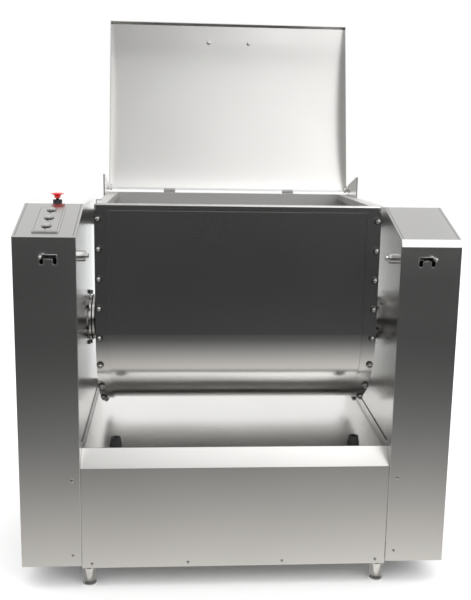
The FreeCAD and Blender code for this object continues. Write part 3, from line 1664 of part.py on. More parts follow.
def build_reducer():
    """A slim housing on the shaft, round about its output and input shafts."""
    radius = s["reducer_radius"]
    low = -s["reducer_offset"]
    outline = [
        (-radius, 0),
        (-radius, low, (0, low - radius)),
        (radius, low),
        (radius, 0, (0, radius)),
    ]
    span = (reducer_left_x, reducer_right_x)
    housing = profile_along_x("ReducerHousing", [outline], span, axis_y, axis_z)
    boss_span = (reducer_right_x, reducer_right_x + s["reducer_boss_height"])
    boss = rod("ReducerBoss", "X", s["reducer_boss_radius"], boss_span, (axis_y, axis_z))
    drill = (reducer_left_x - 1, boss_span[1] + 1)
    output = s["shaft_radius"] + s["running_clearance"]
    output_bore = rod("ReducerOutput", "X", output, drill, (axis_y, axis_z))
    intake = s["input_shaft_radius"] + s["running_clearance"]
    deep = (reducer_left_x - 1, reducer_left_x + s["reducer_width"] * 0.6)
    input_bore = rod("ReducerInput", "X", intake, deep, (axis_y, input_z))
    return cut("Reducer", fuse("ReducerSolid", housing, boss), output_bore, input_bore)


keep(build_reducer(), "reducer")


def build_pulley(name, radius, z, shaft_end_x):
    """A flanged belt pulley with its own shaft stub."""
    rim = radius + s["pulley_rim"]
    section = [
        (0, pulley_left_x),
        (rim, pulley_left_x),
        (rim, pulley_left_x + s["pulley_flange"]),
        (radius, pulley_left_x + s["pulley_flange"]),
        (radius, pulley_right_x - s["pulley_flange"]),
        (rim, pulley_right_x - s["pulley_flange"]),
        (rim, pulley_right_x),
        (s["input_shaft_radius"], pulley_right_x),
        (s["input_shaft_radius"], shaft_end_x),
        (0, shaft_end_x),
    ]
    return turned(name, section, "X", (0, axis_y, z))


reducer_shaft_end = reducer_left_x + s["reducer_width"] * 0.5
motor_face_x = reducer_left_x + s["pulley_gap"]
motor_shaft_end = motor_face_x + s["motor_radius"] * 0.5
keep(build_pulley("DrivenPulley", s["driven_radius"], input_z, reducer_shaft_end), "reducer_pulley")
keep(build_pulley("DrivingPulley", s["driving_radius"], motor_z, motor_shaft_end), "motor_pulley")


def belt_outline(extra):
    """The belt's loop round both pulleys, at a distance outside the pulley faces."""
    large = s["driven_radius"] + extra
    small = s["driving_radius"] + extra
    span = input_z - motor_z
    lean = arc_sine((small - large) / span)
    across = cosine(lean)
    lift = sine(lean)
    high = input_z - axis_z
    low = motor_z - axis_z
    return [
        (-large * across, high + large * lift, (0, high + large)),
        (large * across, high + large * lift),
        (small * across, low + small * lift, (0, low - small)),
        (-small * across, low + small * lift),
    ]


def build_belt():
    clear = s["seal_clearance"]
    outer = belt_outline(clear + s["belt_thickness"])
    inner = belt_outline(clear)
    side = s["pulley_flange"] + s["belt_side_clearance"]
    span = (pulley_left_x + side, pulley_right_x - side)
    return profile_along_x("Belt", [outer, inner], span, axis_y, axis_z)


keep(build_belt(), "drive_belt")


def build_motor():
    """A foot-mounted motor: barrel, stepped ends, feet and terminal box."""
    length = s["motor_length"]
    radius = s["motor_radius"]
    end = s["motor_end_radius"]
    section = [
        (s["input_shaft_radius"] + s["running_clearance"], 0),
        (end, 0),
        (radius, length * 0.12),
        (radius, length * 0.8),
        (s["motor_cowl_radius"], length * 0.83),
        (s["motor_cowl_radius"], length),
        (0, length),
        (0, radius * 0.6),
        (s["input_shaft_radius"] + s["running_clearance"], radius * 0.6),
    ]
    barrel = turned("MotorBarrel", section, "X", (motor_face_x, axis_y, motor_z))
    plate_top = frame_top_z + s["motor_plate_thickness"] + s["seat_clearance"] * 2
    feet = []
    for index, share in enumerate((0.2, 0.62)):
        low = motor_face_x + length * share
        span = (low, low + s["motor_foot_width"])
        y = (axis_y - radius * 0.85, axis_y + radius * 0.85)
        feet.append(box("MotorFoot%d" % index, span, y, (plate_top, motor_z - radius * 0.6)))
    half = s["motor_box_size"] / 2
    middle = motor_face_x + length * 0.45
    box_z = (motor_z + radius * 0.7, motor_z + radius + s["motor_box_height"])
    terminal = box("TerminalBox", (middle - half, middle + half), (axis_y - half, axis_y + half), box_z)
    return fuse("Motor", barrel, terminal, *feet)


keep(build_motor(), "drive_motor")
plate_x = (-rail_end_x, s["motor_plate_length"] - rail_end_x)
plate_low_z = frame_top_z + s["seat_clearance"]
plate_z = (plate_low_z, plate_low_z + s["motor_plate_thickness"])
keep(box("MotorPlate", plate_x, motor_plate_y, plate_z), "motor_plate")

gland_section = [
    (0, 0),
    (s["gland_radius"], 0),
    (s["gland_radius"], s["gland_length"] * 0.4),
    (s["gland_radius"] * 0.8, s["gland_length"] * 0.45),
    (s["gland_radius"] * 0.65, s["gland_length"]),
    (s["gland_plug_radius"], s["gland_length"]),
    (s["gland_plug_radius"], s["gland_length"] * 0.9),
    (0, s["gland_length"] * 0.9),
]
gland_spot = (-panel_x, back_y, bottom_z + s["gland_height"])
keep(turned("CableGland", gland_section, "Y", gland_spot), "cable_gland")


def build_panel_screws():
    """Round-head screws on the column fronts and along the apron's foot."""
    radius = s["screw_radius"]
    height = s["screw_height"]
    section = [(0, 0), (radius, 0), (radius * 0.85, height * 0.6), (radius * 0.45, height), (0, height)]
    master = turned("ScrewMaster", section)
    to_front = FreeCAD.Rotation(X_AXIS, 90)
    spots = []
    seat = s["seat_clearance"]
    for side in (-1, 1):
        for step in (0, 1):
            x = side * (inner_x + s["screw_inset"])
            z = bottom_z + s["screw_low_height"] + s["screw_pitch"] * step
            spots.append(FreeCAD.Placement(spot_number(x, front_y - seat, z), to_front))
    for share in (-0.935, -0.31, 0.31, 0.935):
        point = spot_number(between_x * share, apron_y - seat, apron_low_z + s["apron_screw_height"])
        spots.append(FreeCAD.Placement(point, to_front))
    return copies("PanelScrews", master, spots)


keep(build_panel_screws(), "panel_screws")


def check_and_write():
    """Refuse any failed feature, then write one file for each sub-part."""
    doc.recompute()
    bad = [item.Name for item in doc.Objects if {"Invalid", "Error"} & set(item.State)]
    if bad:
        raise RuntimeError("these features failed: " + ", ".join(bad))
    for item in kept:
        if item.Shape.isNull() or not item.Shape.isValid() or not item.Shape.Solids:
            raise RuntimeError("this sub-part has no sound shape: " + item.Label)
    os.makedirs("parts", exist_ok=True)
    for item in kept:
        item.Shape.exportStep("parts/" + item.Label + ".step")
    whole = FreeCAD.BoundBox()
    for item in kept:
        whole.add(item.Shape.BoundBox)
    print("%d sub-parts, box %s" % (len(kept), whole))


check_and_write()
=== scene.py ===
# %% [markdown]
# A horizontal dough mixer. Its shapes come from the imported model, which is loaded as a fixed frame.
# This lesson adds the finishes of the real machine, the small parts that a sheet-metal shop adds
# by hand, and a plain studio with a camera where the photographer stood.

# %% The frame
import json
import math
import bpy
from mathutils import Matrix, Vector


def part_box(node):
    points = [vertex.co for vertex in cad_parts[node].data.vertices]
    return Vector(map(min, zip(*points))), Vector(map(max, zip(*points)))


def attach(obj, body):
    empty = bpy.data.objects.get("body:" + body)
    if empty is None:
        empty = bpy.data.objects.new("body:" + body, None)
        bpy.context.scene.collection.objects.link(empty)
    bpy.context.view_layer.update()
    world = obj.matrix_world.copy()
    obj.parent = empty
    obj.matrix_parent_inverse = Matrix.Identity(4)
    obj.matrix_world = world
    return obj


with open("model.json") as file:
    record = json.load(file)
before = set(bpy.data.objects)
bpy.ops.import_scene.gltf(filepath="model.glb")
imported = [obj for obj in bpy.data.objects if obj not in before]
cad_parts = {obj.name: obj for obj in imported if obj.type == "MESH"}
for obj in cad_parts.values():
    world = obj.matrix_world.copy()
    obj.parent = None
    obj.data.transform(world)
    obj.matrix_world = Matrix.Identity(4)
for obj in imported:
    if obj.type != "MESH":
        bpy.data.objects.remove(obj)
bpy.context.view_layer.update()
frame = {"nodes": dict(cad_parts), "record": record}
nodes = frame["nodes"]

# %% [markdown]
# A shader is a web of small nodes. Drawn by hand it soon becomes hard to read, so the sums are
# written as ordinary Python here. A Value wraps one output socket, and each operator adds the
# Math node that does the same sum. Anything that isn't a sum, such as a noise texture, comes from
# the function node().

# %% Shader sums as Python
class Value:
    """A number that a tree of nodes works out, wrapped so that Python's operators work on it."""

    def __init__(self, tree, socket):
        self.tree = tree
        self.socket = socket

    def math(self, operation, *values):
        return node(self.tree, "ShaderNodeMath", {"operation": operation}, *values)

    def __add__(self, other):
        return self.math("ADD", self, other)

    def __sub__(self, other):
        return self.math("SUBTRACT", self, other)

    def __rsub__(self, other):
        return self.math("SUBTRACT", other, self)

    def __mul__(self, other):
        return self.math("MULTIPLY", self, other)

    def __truediv__(self, other):
        return self.math("DIVIDE", self, other)

    __radd__ = __add__
    __rmul__ = __mul__

    def power(self, other):
        return self.math("POWER", self, other)

    def exponent(self):
        return self.math("EXPONENT", self)

    def sine(self):
        return self.math("SINE", self)

    def cosine(self):
        return self.math("COSINE", self)

    def floor(self):
        return self.math("FLOOR", self)

    def modulo(self, other):
        return self.math("MODULO", self, other)

    def size(self):
        return self.math("ABSOLUTE", self)

    def at_least(self, limit):
        return self.math("MAXIMUM", self, limit)

    def at_most(self, limit):
        return self.math("MINIMUM", self, limit)

    def clamped(self):
        return self.at_least(0.0).at_most(1.0)

    def wrapped(self, half):
        """Folded into a run of cells: from -half to half, and then from -half again."""
        return self.math("WRAP", self, half, -half)

    def between(self, low, high):
        """0 below low, 1 above high, and a smooth step from one to the other."""
        settings = {"interpolation_type": "SMOOTHSTEP"}
        limits = {"From_Min": low, "From_Max": high}
        return node(self.tree, "ShaderNodeMapRange", settings, Value=self, **limits)

    def below(self, limit, blur=0.0001):
        """1 under the limit, and 0 just past it."""
        return 1.0 - self.between(limit, limit + blur)


def plug(tree, socket, value):
    """Link a socket to a Value, or set it to anything else."""
    if isinstance(value, Value):
        tree.links.new(value.socket, socket)
    else:
        socket.default_value = value


def feed(tree, made, **named):
    """Plug values into a node's sockets by name, with _ for a space."""
    for name, value in named.items():
        plug(tree, made.inputs[name.replace("_", " ")], value)


def node(tree, kind, settings, *values, output=0, **named):
    """Add a node: its settings first, then the values or links of its sockets."""
    made = tree.nodes.new(kind)
    for name, setting in settings.items():
        setattr(made, name, setting)
    for index, value in enumerate(values):
        plug(tree, made.inputs[index], value)
    feed(tree, made, **named)
    return Value(tree, made.outputs[output])


print("shader helpers ready")

# %% [markdown]
# Every finish here is a pattern on the piece's own coordinates, in metres, so it stays with the
# piece when a joint moves it. These helpers read those coordinates, measure distances in them,
# and mix numbers and colours. Colours need a node of their own: a Math node would turn them grey.

# %% Patterns on a piece
# A Mix node has separate sockets for each kind of value. These are the ones for colours.
MIX_INPUTS = (0, 6, 7)
MIX_OUTPUT = 2


def place_on(tree, scale=(1, 1, 1)):
    """The point on the piece, in metres, squeezed or stretched along each axis."""
    spot = node(tree, "ShaderNodeTexCoord", {}, output="Object")
    return node(tree, "ShaderNodeMapping", {}, Vector=spot, Scale=scale)


def along_axes(tree, coordinates="Object"):
    """X, Y and Z on the piece, as three Values."""
    parts = tree.nodes.new("ShaderNodeSeparateXYZ")
    plug(tree, parts.inputs[0], node(tree, "ShaderNodeTexCoord", {}, output=coordinates))
    return [Value(tree, socket) for socket in parts.outputs]


def distance(*offsets):
    """How far away a point is, from its offsets along the axes."""
    return sum(offset * offset for offset in offsets).power(0.5)


def on_oblong(across, along, half_wide, half_long):
    """1 on an oblong round the middle, and 0 outside it."""
    return across.size().below(half_wide) * along.size().below(half_long)


def noise(tree, spot, scale, detail):
    return node(tree, "ShaderNodeTexNoise", {}, Vector=spot, Scale=scale, Detail=detail)


def mixed(first, second, share):
    """The first number where share is 0, and the second where it is 1."""
    return share * (second - first) + first


def blend_colours(tree, mask, first, second):
    """The first colour where the mask is 0, and the second where it is 1."""
    made = tree.nodes.new("ShaderNodeMix")
    made.data_type = "RGBA"
    for index, value in zip(MIX_INPUTS, (mask, first, second)):
        plug(tree, made.inputs[index], value)
    return Value(tree, made.outputs[MIX_OUTPUT])


print("colour sockets", MIX_INPUTS, MIX_OUTPUT)

# %% [markdown]
# Stainless sheet is ground with a belt, so it has fine scratches that all run one way. At this
# distance no single scratch can be seen. What shows is how they blur a reflection, and that the
# blur changes a little from place to place where the belt pressed harder or a hand wiped the
# sheet. So the finish is one stretched noise for the grain and one broad noise for the haze. A
# third noise bends the light a little, because no folded sheet is quite flat.

# %% Stainless sheet
STEEL = (0.71, 0.703, 0.688, 1)
STEEL_DULL = (0.63, 0.623, 0.608, 1)
# INK_AND_SHADE is dark for the printed border, and for painted shade in the screw and edge marks.
INK_AND_SHADE = (0.05, 0.05, 0.05, 1)
GRAIN_ACROSS = 1500.0
GRAIN_ALONG = 12.0
GRAIN_BLUR = 0.01
GRAIN_BUMP = 0.0001
HAZE_SCALE = 2.0
HAZE_BLUR = 0.03
WAVE_SCALE = 2.6
WAVE_DEPTH = 0.002


def shader(name):
    """A new material, its tree and its main shader node."""
    material = bpy.data.materials.new(name)
    material.use_nodes = True
    tree = material.node_tree
    return material, tree, tree.nodes["Principled BSDF"]


def bumped(tree, height, depth):
    return node(tree, "ShaderNodeBump", {}, Strength=1.0, Distance=depth, Height=height)


def no_marks(tree):
    """Extra darkness and extra roughness: none."""
    return 0.0, 0.0


def sheet_steel(name, grain, rough, marks=no_marks):
    """Ground sheet: grain is the axis that the scratches follow, and marks adds what isn't even."""
    material, tree, main = shader(name)
    stretch = [GRAIN_ACROSS, GRAIN_ACROSS, GRAIN_ACROSS]
    stretch["XYZ".index(grain)] = GRAIN_ALONG
    scratches = noise(tree, place_on(tree, stretch), 1.0, 2.0)
    wiped = noise(tree, place_on(tree), HAZE_SCALE, 3.0).between(0.3, 0.75)
    waves = noise(tree, place_on(tree), WAVE_SCALE, 1.0)
    darkness, dullness = marks(tree)
    steel = blend_colours(tree, wiped * 0.3 + scratches * 0.05, STEEL, STEEL_DULL)
    blur = wiped * HAZE_BLUR + scratches * GRAIN_BLUR + (rough - GRAIN_BLUR / 2)
    feed(tree, main, Metallic=1.0, Base_Color=blend_colours(tree, darkness, steel, INK_AND_SHADE))
    feed(tree, main, Roughness=blur + dullness)
    feed(tree, main, Normal=bumped(tree, waves + scratches * GRAIN_BUMP, WAVE_DEPTH))
    return material


base_steel = sheet_steel("base_steel", "X", 0.24)
lid_steel = sheet_steel("lid_steel", "X", 0.24)
inner_steel = sheet_steel("inner_steel", "X", 0.22)
print("plain sheets", base_steel.name, lid_steel.name, inner_steel.name)

# %% [markdown]
# The inside of the trough is scoured by dough and brush, so it shines less than the outside. Both
# sides belong to one bent sheet of 3 mm. A second material would need its faces picked by hand, so
# one sum tells the sides apart: how far a point is from the trough's axis, or, on the straight
# walls, from the upright plane through it.

# %% The trough's two sides
shell_low, shell_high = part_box("trough_shell")
AXIS_Y = (shell_low[1] + shell_high[1]) / 2
RADIUS = (shell_high[1] - shell_low[1]) / 2
AXIS_Z = shell_low[2] + RADIUS
SKIN = 0.0025
SCOURED = 0.28


def inside_the_trough(tree):
    """No extra darkness, and extra roughness on the dough's side."""
    _, y, z = along_axes(tree)
    away = distance(y - AXIS_Y, (z - AXIS_Z).at_most(0.0))
    return 0.0, away.below(RADIUS - SKIN, 0.001) * SCOURED


trough_steel = sheet_steel("trough_steel", "X", 0.17, inside_the_trough)
print("axis", AXIS_Y, AXIS_Z, "radius", RADIUS)

# %% [markdown]
# The side covers are held by countersunk screws that lie flush with the sheet. Solid ones would
# need a pocket each. Since nothing stands out, they are drawn in the finish: the place on the
# cover is wrapped into the cells of a grid, and a ring and a cross are measured from each middle.
# Both are painted shade, for the groove round each head and the recess in it.

# %% Flush screws in the side covers
cover_low, cover_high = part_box("right_side_cover")
COVER_EDGE = 0.017
COVER_SCREW_Y = cover_low[1] + COVER_EDGE
COVER_SCREW_Z = cover_low[2] + 0.030
COVER_PITCH_Y = cover_high[1] - cover_low[1] - 2 * COVER_EDGE
COVER_PITCH_Z = 0.310
FLUSH_HEAD = 0.0050
FLUSH_EDGE = 0.0053
FLUSH_GROOVE = 0.0060
FLUSH_CROSS = (0.0006, 0.0028)
FLUSH_SHINE = -0.08


def cover_screws(tree):
    """Painted shade in the groove round each screw and in the cross in it, and a brighter head."""
    _, y, z = along_axes(tree)
    across = (y - COVER_SCREW_Y).wrapped(COVER_PITCH_Y / 2)
    up = (z - COVER_SCREW_Z).wrapped(COVER_PITCH_Z / 2)
    away = distance(across, up)
    groove_shade = away.between(FLUSH_HEAD, FLUSH_EDGE) * away.below(FLUSH_GROOVE)
    cross_shade = on_oblong(across, up, *FLUSH_CROSS) + on_oblong(up, across, *FLUSH_CROSS)
    return (groove_shade + cross_shade).clamped(), away.below(FLUSH_HEAD) * FLUSH_SHINE


cover_steel = sheet_steel("cover_steel", "Z", 0.23, cover_screws)
print("screws every", COVER_PITCH_Y, COVER_PITCH_Z)

# %% [markdown]
# The control plate lies on the slope at the top of the left column, and a thin line is printed
# round it. A texture picture could carry that line. Here it is the difference of two oblongs, which
# stays sharp at any size. The slope itself is measured from the first and the last push button.

# %% The control plate's border
MACHINE_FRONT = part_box("left_column_shell")[0][1]
SLOPE_LOW_Z = 1.085
PLATE_START = 0.027
PLATE_LONG = 0.178
BORDER_HALF = (0.0332, 0.0822)
BORDER_LINE = 0.0008


def middle(name):
    low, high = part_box(name)
    return [(low[axis] + high[axis]) / 2 for axis in range(3)]


first_button = middle("push_button_1")
last_button = middle("push_button_3")
BUTTON_PITCH = math.dist(first_button, last_button) / 2
SLOPE = math.atan2(last_button[2] - first_button[2], last_button[1] - first_button[1])
PLATE_X = middle("control_plate")[0]
PLATE_Y = MACHINE_FRONT + PLATE_START * math.cos(SLOPE)
PLATE_Z = SLOPE_LOW_Z + PLATE_START * math.sin(SLOPE)


def plate_print(tree):
    """The dark border line, and no extra roughness."""
    x, y, z = along_axes(tree)
    across = x - PLATE_X
    along = (y - PLATE_Y) * math.cos(SLOPE) + (z - PLATE_Z) * math.sin(SLOPE) - PLATE_LONG / 2
    inner = on_oblong(across, along, *BORDER_HALF)
    outer = on_oblong(across, along, *(half + BORDER_LINE for half in BORDER_HALF))
    return (outer - inner).clamped(), 0.0


plate_steel = sheet_steel("plate_steel", "X", 0.24, plate_print)
print("slope", round(math.degrees(SLOPE), 2), "buttons", round(BUTTON_PITCH, 4))

# %% [markdown]
# Each column's skin is one long sheet, folded at the slope. A few millimetres in from each edge,
# over the slope and the top, a faint dark line of painted shade stands for the joint along that
# edge. Each line starts sharp and fades inwards.

# %% Painted shade along the columns' edges
COLUMN_OUTER = cover_high[0]
COLUMN_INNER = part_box("base_apron")[1][0] + 0.0005
EDGE_SHADE_SHARP = (0.0045, 0.0065)
EDGE_SHADE_SOFT = (0.0080, 0.0030)
EDGE_SHADE_DARK = 0.34


def edge_shade_line(inset):
    """Sharp on the side of the sheet's edge, and soft on the other."""
    return inset.between(*EDGE_SHADE_SHARP) * inset.below(*EDGE_SHADE_SOFT)


def edge_shade_lines(tree):
    """Faint dark lines of painted shade above the fold at the slope's foot, and no extra roughness.
    """
    x, _, z = along_axes(tree)
    lines = edge_shade_line(x.size() - COLUMN_INNER) + edge_shade_line(COLUMN_OUTER - x.size())
    return lines * z.between(SLOPE_LOW_Z + 0.001, SLOPE_LOW_Z + 0.003) * EDGE_SHADE_DARK, 0.0


column_steel = sheet_steel("column_steel", "Z", 0.23, edge_shade_lines)
print("column from", COLUMN_INNER, "to", COLUMN_OUTER)

# %% [markdown]
# Turned and polished parts, such as nuts, pins and feet, are brighter than the sheet and have
# no grain that shows, so a little wear is all that they need. Rubber, plastic and paint aren't
# metals: their colour is in the surface and their shine is a thin white gloss over it. Two
# functions, one for metals and one for the rest, then make every finish from a colour and a
# few sizes.

# %% Bright steel, rubber, plastic and paint
WEAR_SCALE = 38.0
WEAR_SHADE = 0.86
WEAR_BLUR = 0.06
WEAR_DEPTH = 0.00008
DUST_SCALE = 14.0
DUST_GREY = 0.5
DUST_BLUR = 0.12
TEXTURE_BLUR = 0.08


def plain_metal(name, colour, rough):
    """Turned or cast metal, a little darker and duller where it is worn."""
    material, tree, main = shader(name)
    cloud = noise(tree, place_on(tree), WEAR_SCALE, 5.0)
    worn = cloud.between(0.3, 0.7)
    darker = tuple(part * WEAR_SHADE for part in colour[:3]) + (1,)
    feed(tree, main, Metallic=1.0, Base_Color=blend_colours(tree, worn, colour, darker))
    feed(tree, main, Roughness=worn * WEAR_BLUR + rough)
    feed(tree, main, Normal=bumped(tree, cloud, WEAR_DEPTH))
    return material


def coated(name, colour, rough, grain_size, grain_depth, dust):
    """Paint, plastic or rubber: a colour with a fine texture and a little dust."""
    material, tree, main = shader(name)
    grain = noise(tree, place_on(tree), grain_size, 4.0)
    cloud = noise(tree, place_on(tree), DUST_SCALE, 4.0)
    dusty = tuple(part * (1 - dust) + DUST_GREY * dust for part in colour[:3]) + (1,)
    feed(tree, main, Base_Color=blend_colours(tree, cloud.between(0.35, 0.75), colour, dusty))
    feed(tree, main, Roughness=cloud * DUST_BLUR + grain * TEXTURE_BLUR + rough)
    feed(tree, main, Normal=bumped(tree, grain, grain_depth))
    return material


bright_steel = plain_metal("bright_steel", (0.76, 0.755, 0.745, 1), 0.14)
nut_steel = plain_metal("nut_steel", (0.52, 0.515, 0.505, 1), 0.16)
# On the washers under the nuts this dark steel is painted reflection, dark as shade.
dark_steel_and_shade = plain_metal("dark_steel_and_shade", (0.16, 0.158, 0.155, 1), 0.30)
dough_steel = plain_metal("dough_steel", (0.68, 0.675, 0.665, 1), 0.21)
bronze = plain_metal("bronze", (0.60, 0.42, 0.20, 1), 0.30)
iron = coated("iron_paint", (0.10, 0.105, 0.11, 1), 0.45, 300.0, 0.0002, 0.10)
frame_paint = coated("frame_paint", (0.34, 0.35, 0.36, 1), 0.45, 500.0, 0.0001, 0.10)
motor_paint = coated("motor_paint", (0.07, 0.13, 0.19, 1), 0.35, 420.0, 0.0001, 0.08)
rubber = coated("black_rubber", (0.010, 0.010, 0.011, 1), 0.55, 700.0, 0.0001, 0.02)
# Black plastic also serves as painted shade: the crosses in screw heads and the buffer screws'
# sockets.
black_plastic = coated("black_plastic", (0.012, 0.012, 0.014, 1), 0.38, 900.0, 0.00005, 0.04)
seal_plastic = coated("seal_plastic", (0.72, 0.72, 0.70, 1), 0.40, 300.0, 0.00005, 0.04)
pale_plastic = coated("pale_plastic", (0.30, 0.30, 0.29, 1), 0.22, 300.0, 0.00003, 0.02)
red_plastic = coated("red_plastic", (0.62, 0.012, 0.012, 1), 0.22, 300.0, 0.00003, 0.01)
print("finishes", len(bpy.data.materials))

# %% [markdown]
# Each node of the model already has its shape, and only its finish is missing. Dressing them one
# by one would take a line each. The record gives each node a slot, so most finishes follow the
# slot. The large panels are named apart: each gets the sheet whose grain runs the way that the real
# blank was cut.

# %% Finishes on the model
BY_SLOT = {
    "sheet_steel": base_steel,
    "bright_steel": bright_steel,
    "dough_steel": dough_steel,
    "black_rubber": rubber,
    "frame_paint": frame_paint,
    "machine_iron": iron,
    "motor_paint": motor_paint,
    "bearing_bronze": bronze,
    "seal_plastic": seal_plastic,
    "pale_plastic": pale_plastic,
    "black_plastic": black_plastic,
    "red_plastic": red_plastic,
}
BY_NODE = {
    "left_column_shell": column_steel,
    "right_column_shell": column_steel,
    "left_side_cover": cover_steel,
    "right_side_cover": cover_steel,
    "control_plate": plate_steel,
    "lid_switch_tab": bright_steel,
    "band_nuts": nut_steel,
    "trough_shell": trough_steel,
    "trough_rim": trough_steel,
    "end_bands": trough_steel,
    "end_plates": inner_steel,
    "lid_shell": lid_steel,
}


def finish(piece, material):
    piece.data.materials.clear()
    piece.data.materials.append(material)


for entry in frame["record"]["subparts"]:
    name = entry["node"]
    finish(nodes[name], BY_NODE.get(name, BY_SLOT[entry["material_slot"]]))

# %% [markdown]
# A sheet-metal shop adds many small things that repeat: a washer under each nut, a row of weld
# beads along each joint, a blade pressed in behind each louvre. Each row is grown by a tree of
# Geometry Nodes. Its sizes are named inputs, and the same operators as above work out where each
# copy goes from its index. The tree ends by turning the copies into one mesh with a finish.

# %% Rows of equal things
def placed(name, data):
    """A new object in the scene."""
    made = bpy.data.objects.new(name, data)
    bpy.context.scene.collection.objects.link(made)
    return made


def plain_mesh(maker):
    """The mesh that a live object shows at present. The object itself is removed."""
    ready = maker.evaluated_get(bpy.context.evaluated_depsgraph_get())
    mesh = bpy.data.meshes.new_from_object(ready)
    bpy.data.objects.remove(maker)
    return mesh


def added(name, mesh, body):
    """A piece that rides on a body of the model."""
    mesh.name = name
    piece = placed(name, mesh)
    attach(piece, body)
    return piece


def settled(name, tree, sizes, body):
    """Run a tree on an empty mesh and keep the result as a plain piece."""
    maker = placed(name + "_maker", bpy.data.meshes.new(name + "_maker"))
    modifier = maker.modifiers.new("grow", "NODES")
    modifier.node_group = tree
    for socket in tree.interface.items_tree:
        if socket.in_out == "INPUT":
            modifier[socket.identifier] = sizes[socket.name]
    return added(name, plain_mesh(maker), body)


def grown(name, body, material, sizes, spot, shape):
    """One mesh of Count copies of a shape, each put where spot says, riding on a body."""
    tree = bpy.data.node_groups.new(name, "GeometryNodeTree")
    tree.interface.new_socket("Geometry", in_out="OUTPUT", socket_type="NodeSocketGeometry")
    for label, size in sizes.items():
        kind = "NodeSocketInt" if isinstance(size, int) else "NodeSocketFloat"
        tree.interface.new_socket(label, in_out="INPUT", socket_type=kind)
    start = tree.nodes.new("NodeGroupInput")
    values = {label: Value(tree, start.outputs[label]) for label in sizes}
    x, y, z, *turn = spot(values, node(tree, "GeometryNodeInputIndex", {}))
    place = node(tree, "ShaderNodeCombineXYZ", {}, x, y, z)
    rotation = node(tree, "ShaderNodeCombineXYZ", {}, *turn)
    points = node(tree, "GeometryNodePoints", {}, Count=values["Count"], Position=place)
    put = {"Points": points, "Instance": shape(tree, values), "Rotation": rotation}
    copies = node(tree, "GeometryNodeInstanceOnPoints", {}, **put)
    real = node(tree, "GeometryNodeRealizeInstances", {}, copies)
    painted = node(tree, "GeometryNodeSetMaterial", {}, real, Material=material)
    plug(tree, tree.nodes.new("NodeGroupOutput").inputs[0], painted)
    return settled(name, tree, sizes, body)


print("grower ready")

# %% [markdown]
# Five plain shapes are enough for all of these parts: a disc, a small ball, a slab, a cross and a
# ring. A modelled screw or weld would look the same from a metre away and cost a hundred times the
# faces. Each shape reads its sizes from the tree's inputs, so that it serves many parts.

# %% Shapes that get repeated
def disc(tree, values, sides=28):
    """A flat round, lying across Z."""
    sizes = {"Vertices": sides, "Radius": values["Radius"], "Depth": values["Thick"]}
    return node(tree, "GeometryNodeMeshCylinder", {}, **sizes)


def bead(tree, values):
    return node(tree, "GeometryNodeMeshIcoSphere", {}, Radius=values["Bead"], Subdivisions=2)


def slab(tree, values, x="Wide", y="Long"):
    size = node(tree, "ShaderNodeCombineXYZ", {}, values[x], values[y], values["Thick"])
    return node(tree, "GeometryNodeMeshCube", {}, Size=size)


def cross(tree, values):
    """Two slabs across each other: the recess in a screw's head."""
    joined = tree.nodes.new("GeometryNodeJoinGeometry")
    for sides in (("Wide", "Long"), ("Long", "Wide")):
        plug(tree, joined.inputs[0], slab(tree, values, *sides))
    return Value(tree, joined.outputs[0])


def ring(tree, values):
    """A flat ring with a square section."""
    circle = {"Resolution": 40, "Radius": values["Radius"]}
    square = {"Width": values["Wall"], "Height": values["Thick"]}
    path = node(tree, "GeometryNodeCurvePrimitiveCircle", {}, **circle)
    section = node(tree, "GeometryNodeCurvePrimitiveQuadrilateral", {}, **square)
    return node(tree, "GeometryNodeCurveToMesh", {}, path, section)


def side_of(index):
    """-1 for even indexes and 1 for odd ones, and the count within each side."""
    odd = index.modulo(2.0)
    return odd * 2.0 - 1.0, (index - odd) * 0.5


print("shapes", [shape.__name__ for shape in (disc, bead, slab, cross, ring)])

# %% [markdown]
# The nuts stand at equal steps along the bent sheet: down the front wall, round the bottom and up
# the back. So a washer's place follows from how far along the sheet it is. Up to the end of the
# straight part it only drops. After that it turns about the trough's axis, by half a circle at
# most, and whatever length is left carries it up the back wall.

# %% Washers under the nuts
HALF_TROUGH = shell_high[0]
BAND_FACE = AXIS_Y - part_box("end_bands")[0][1]
NUTS = 18
NUT_INSET = 0.011
NUT_DROP = 0.025
WASHER_RADIUS = 0.0112
WASHER_THICK = 0.0012


def along_the_trough(values, index):
    side, step = side_of(index)
    bottom = math.pi * values["Neutral"]
    run = (values["Straight"] * 2.0 + bottom) * step * (1.0 / (NUTS - 1))
    past = run - values["Straight"]
    bend = (past.at_least(0.0) / values["Neutral"]).at_most(math.pi)
    height = (past * -1.0).at_least(0.0) + (past - bottom).at_least(0.0)
    y = AXIS_Y - bend.cosine() * values["Face"]
    z = height - bend.sine() * values["Face"] + AXIS_Z
    return side * values["Across"], y, z, bend + math.pi / 2, 0.0, 0.0


# Painted reflection: the washers are dark steel, for the dark outline that each nut's reflection
# makes in the polished band.
washers = grown(
    "nut_washers", "tank", dark_steel_and_shade,
    {
        "Count": NUTS * 2, "Across": HALF_TROUGH - NUT_INSET,
        "Face": BAND_FACE + WASHER_THICK / 2, "Neutral": RADIUS,
        "Straight": shell_high[2] - AXIS_Z - NUT_DROP,
        "Radius": WASHER_RADIUS, "Thick": WASHER_THICK,
    },
    along_the_trough, disc,
)
print("washers", NUTS * 2, "faces", len(washers.data.polygons))

# %% [markdown]
# Most of the other fittings stand in pairs, one on each side of the machine, and step along a line.
# One helper places them all: a start, a step, and how far each copy is tipped and leaned. The
# first to be placed are the cross recesses in the heads of the screws that hold the columns' fronts
# and the apron: black crosses of painted shade. The screws themselves are solids of the model.

# %% Pairs of fittings
ONE_PLACE = (0.0, 0.0, 0.0)
UPRIGHT = math.pi / 2


def pair_spot(values, index):
    side, step = side_of(index)
    x = side * (values["X"] + step * values["Step X"]) + values["Centre"]
    y = step * values["Step Y"] + values["Y"]
    z = step * values["Step Z"] + values["Z"]
    return x, y, z, values["Tip"], side * values["Lean"], 0.0


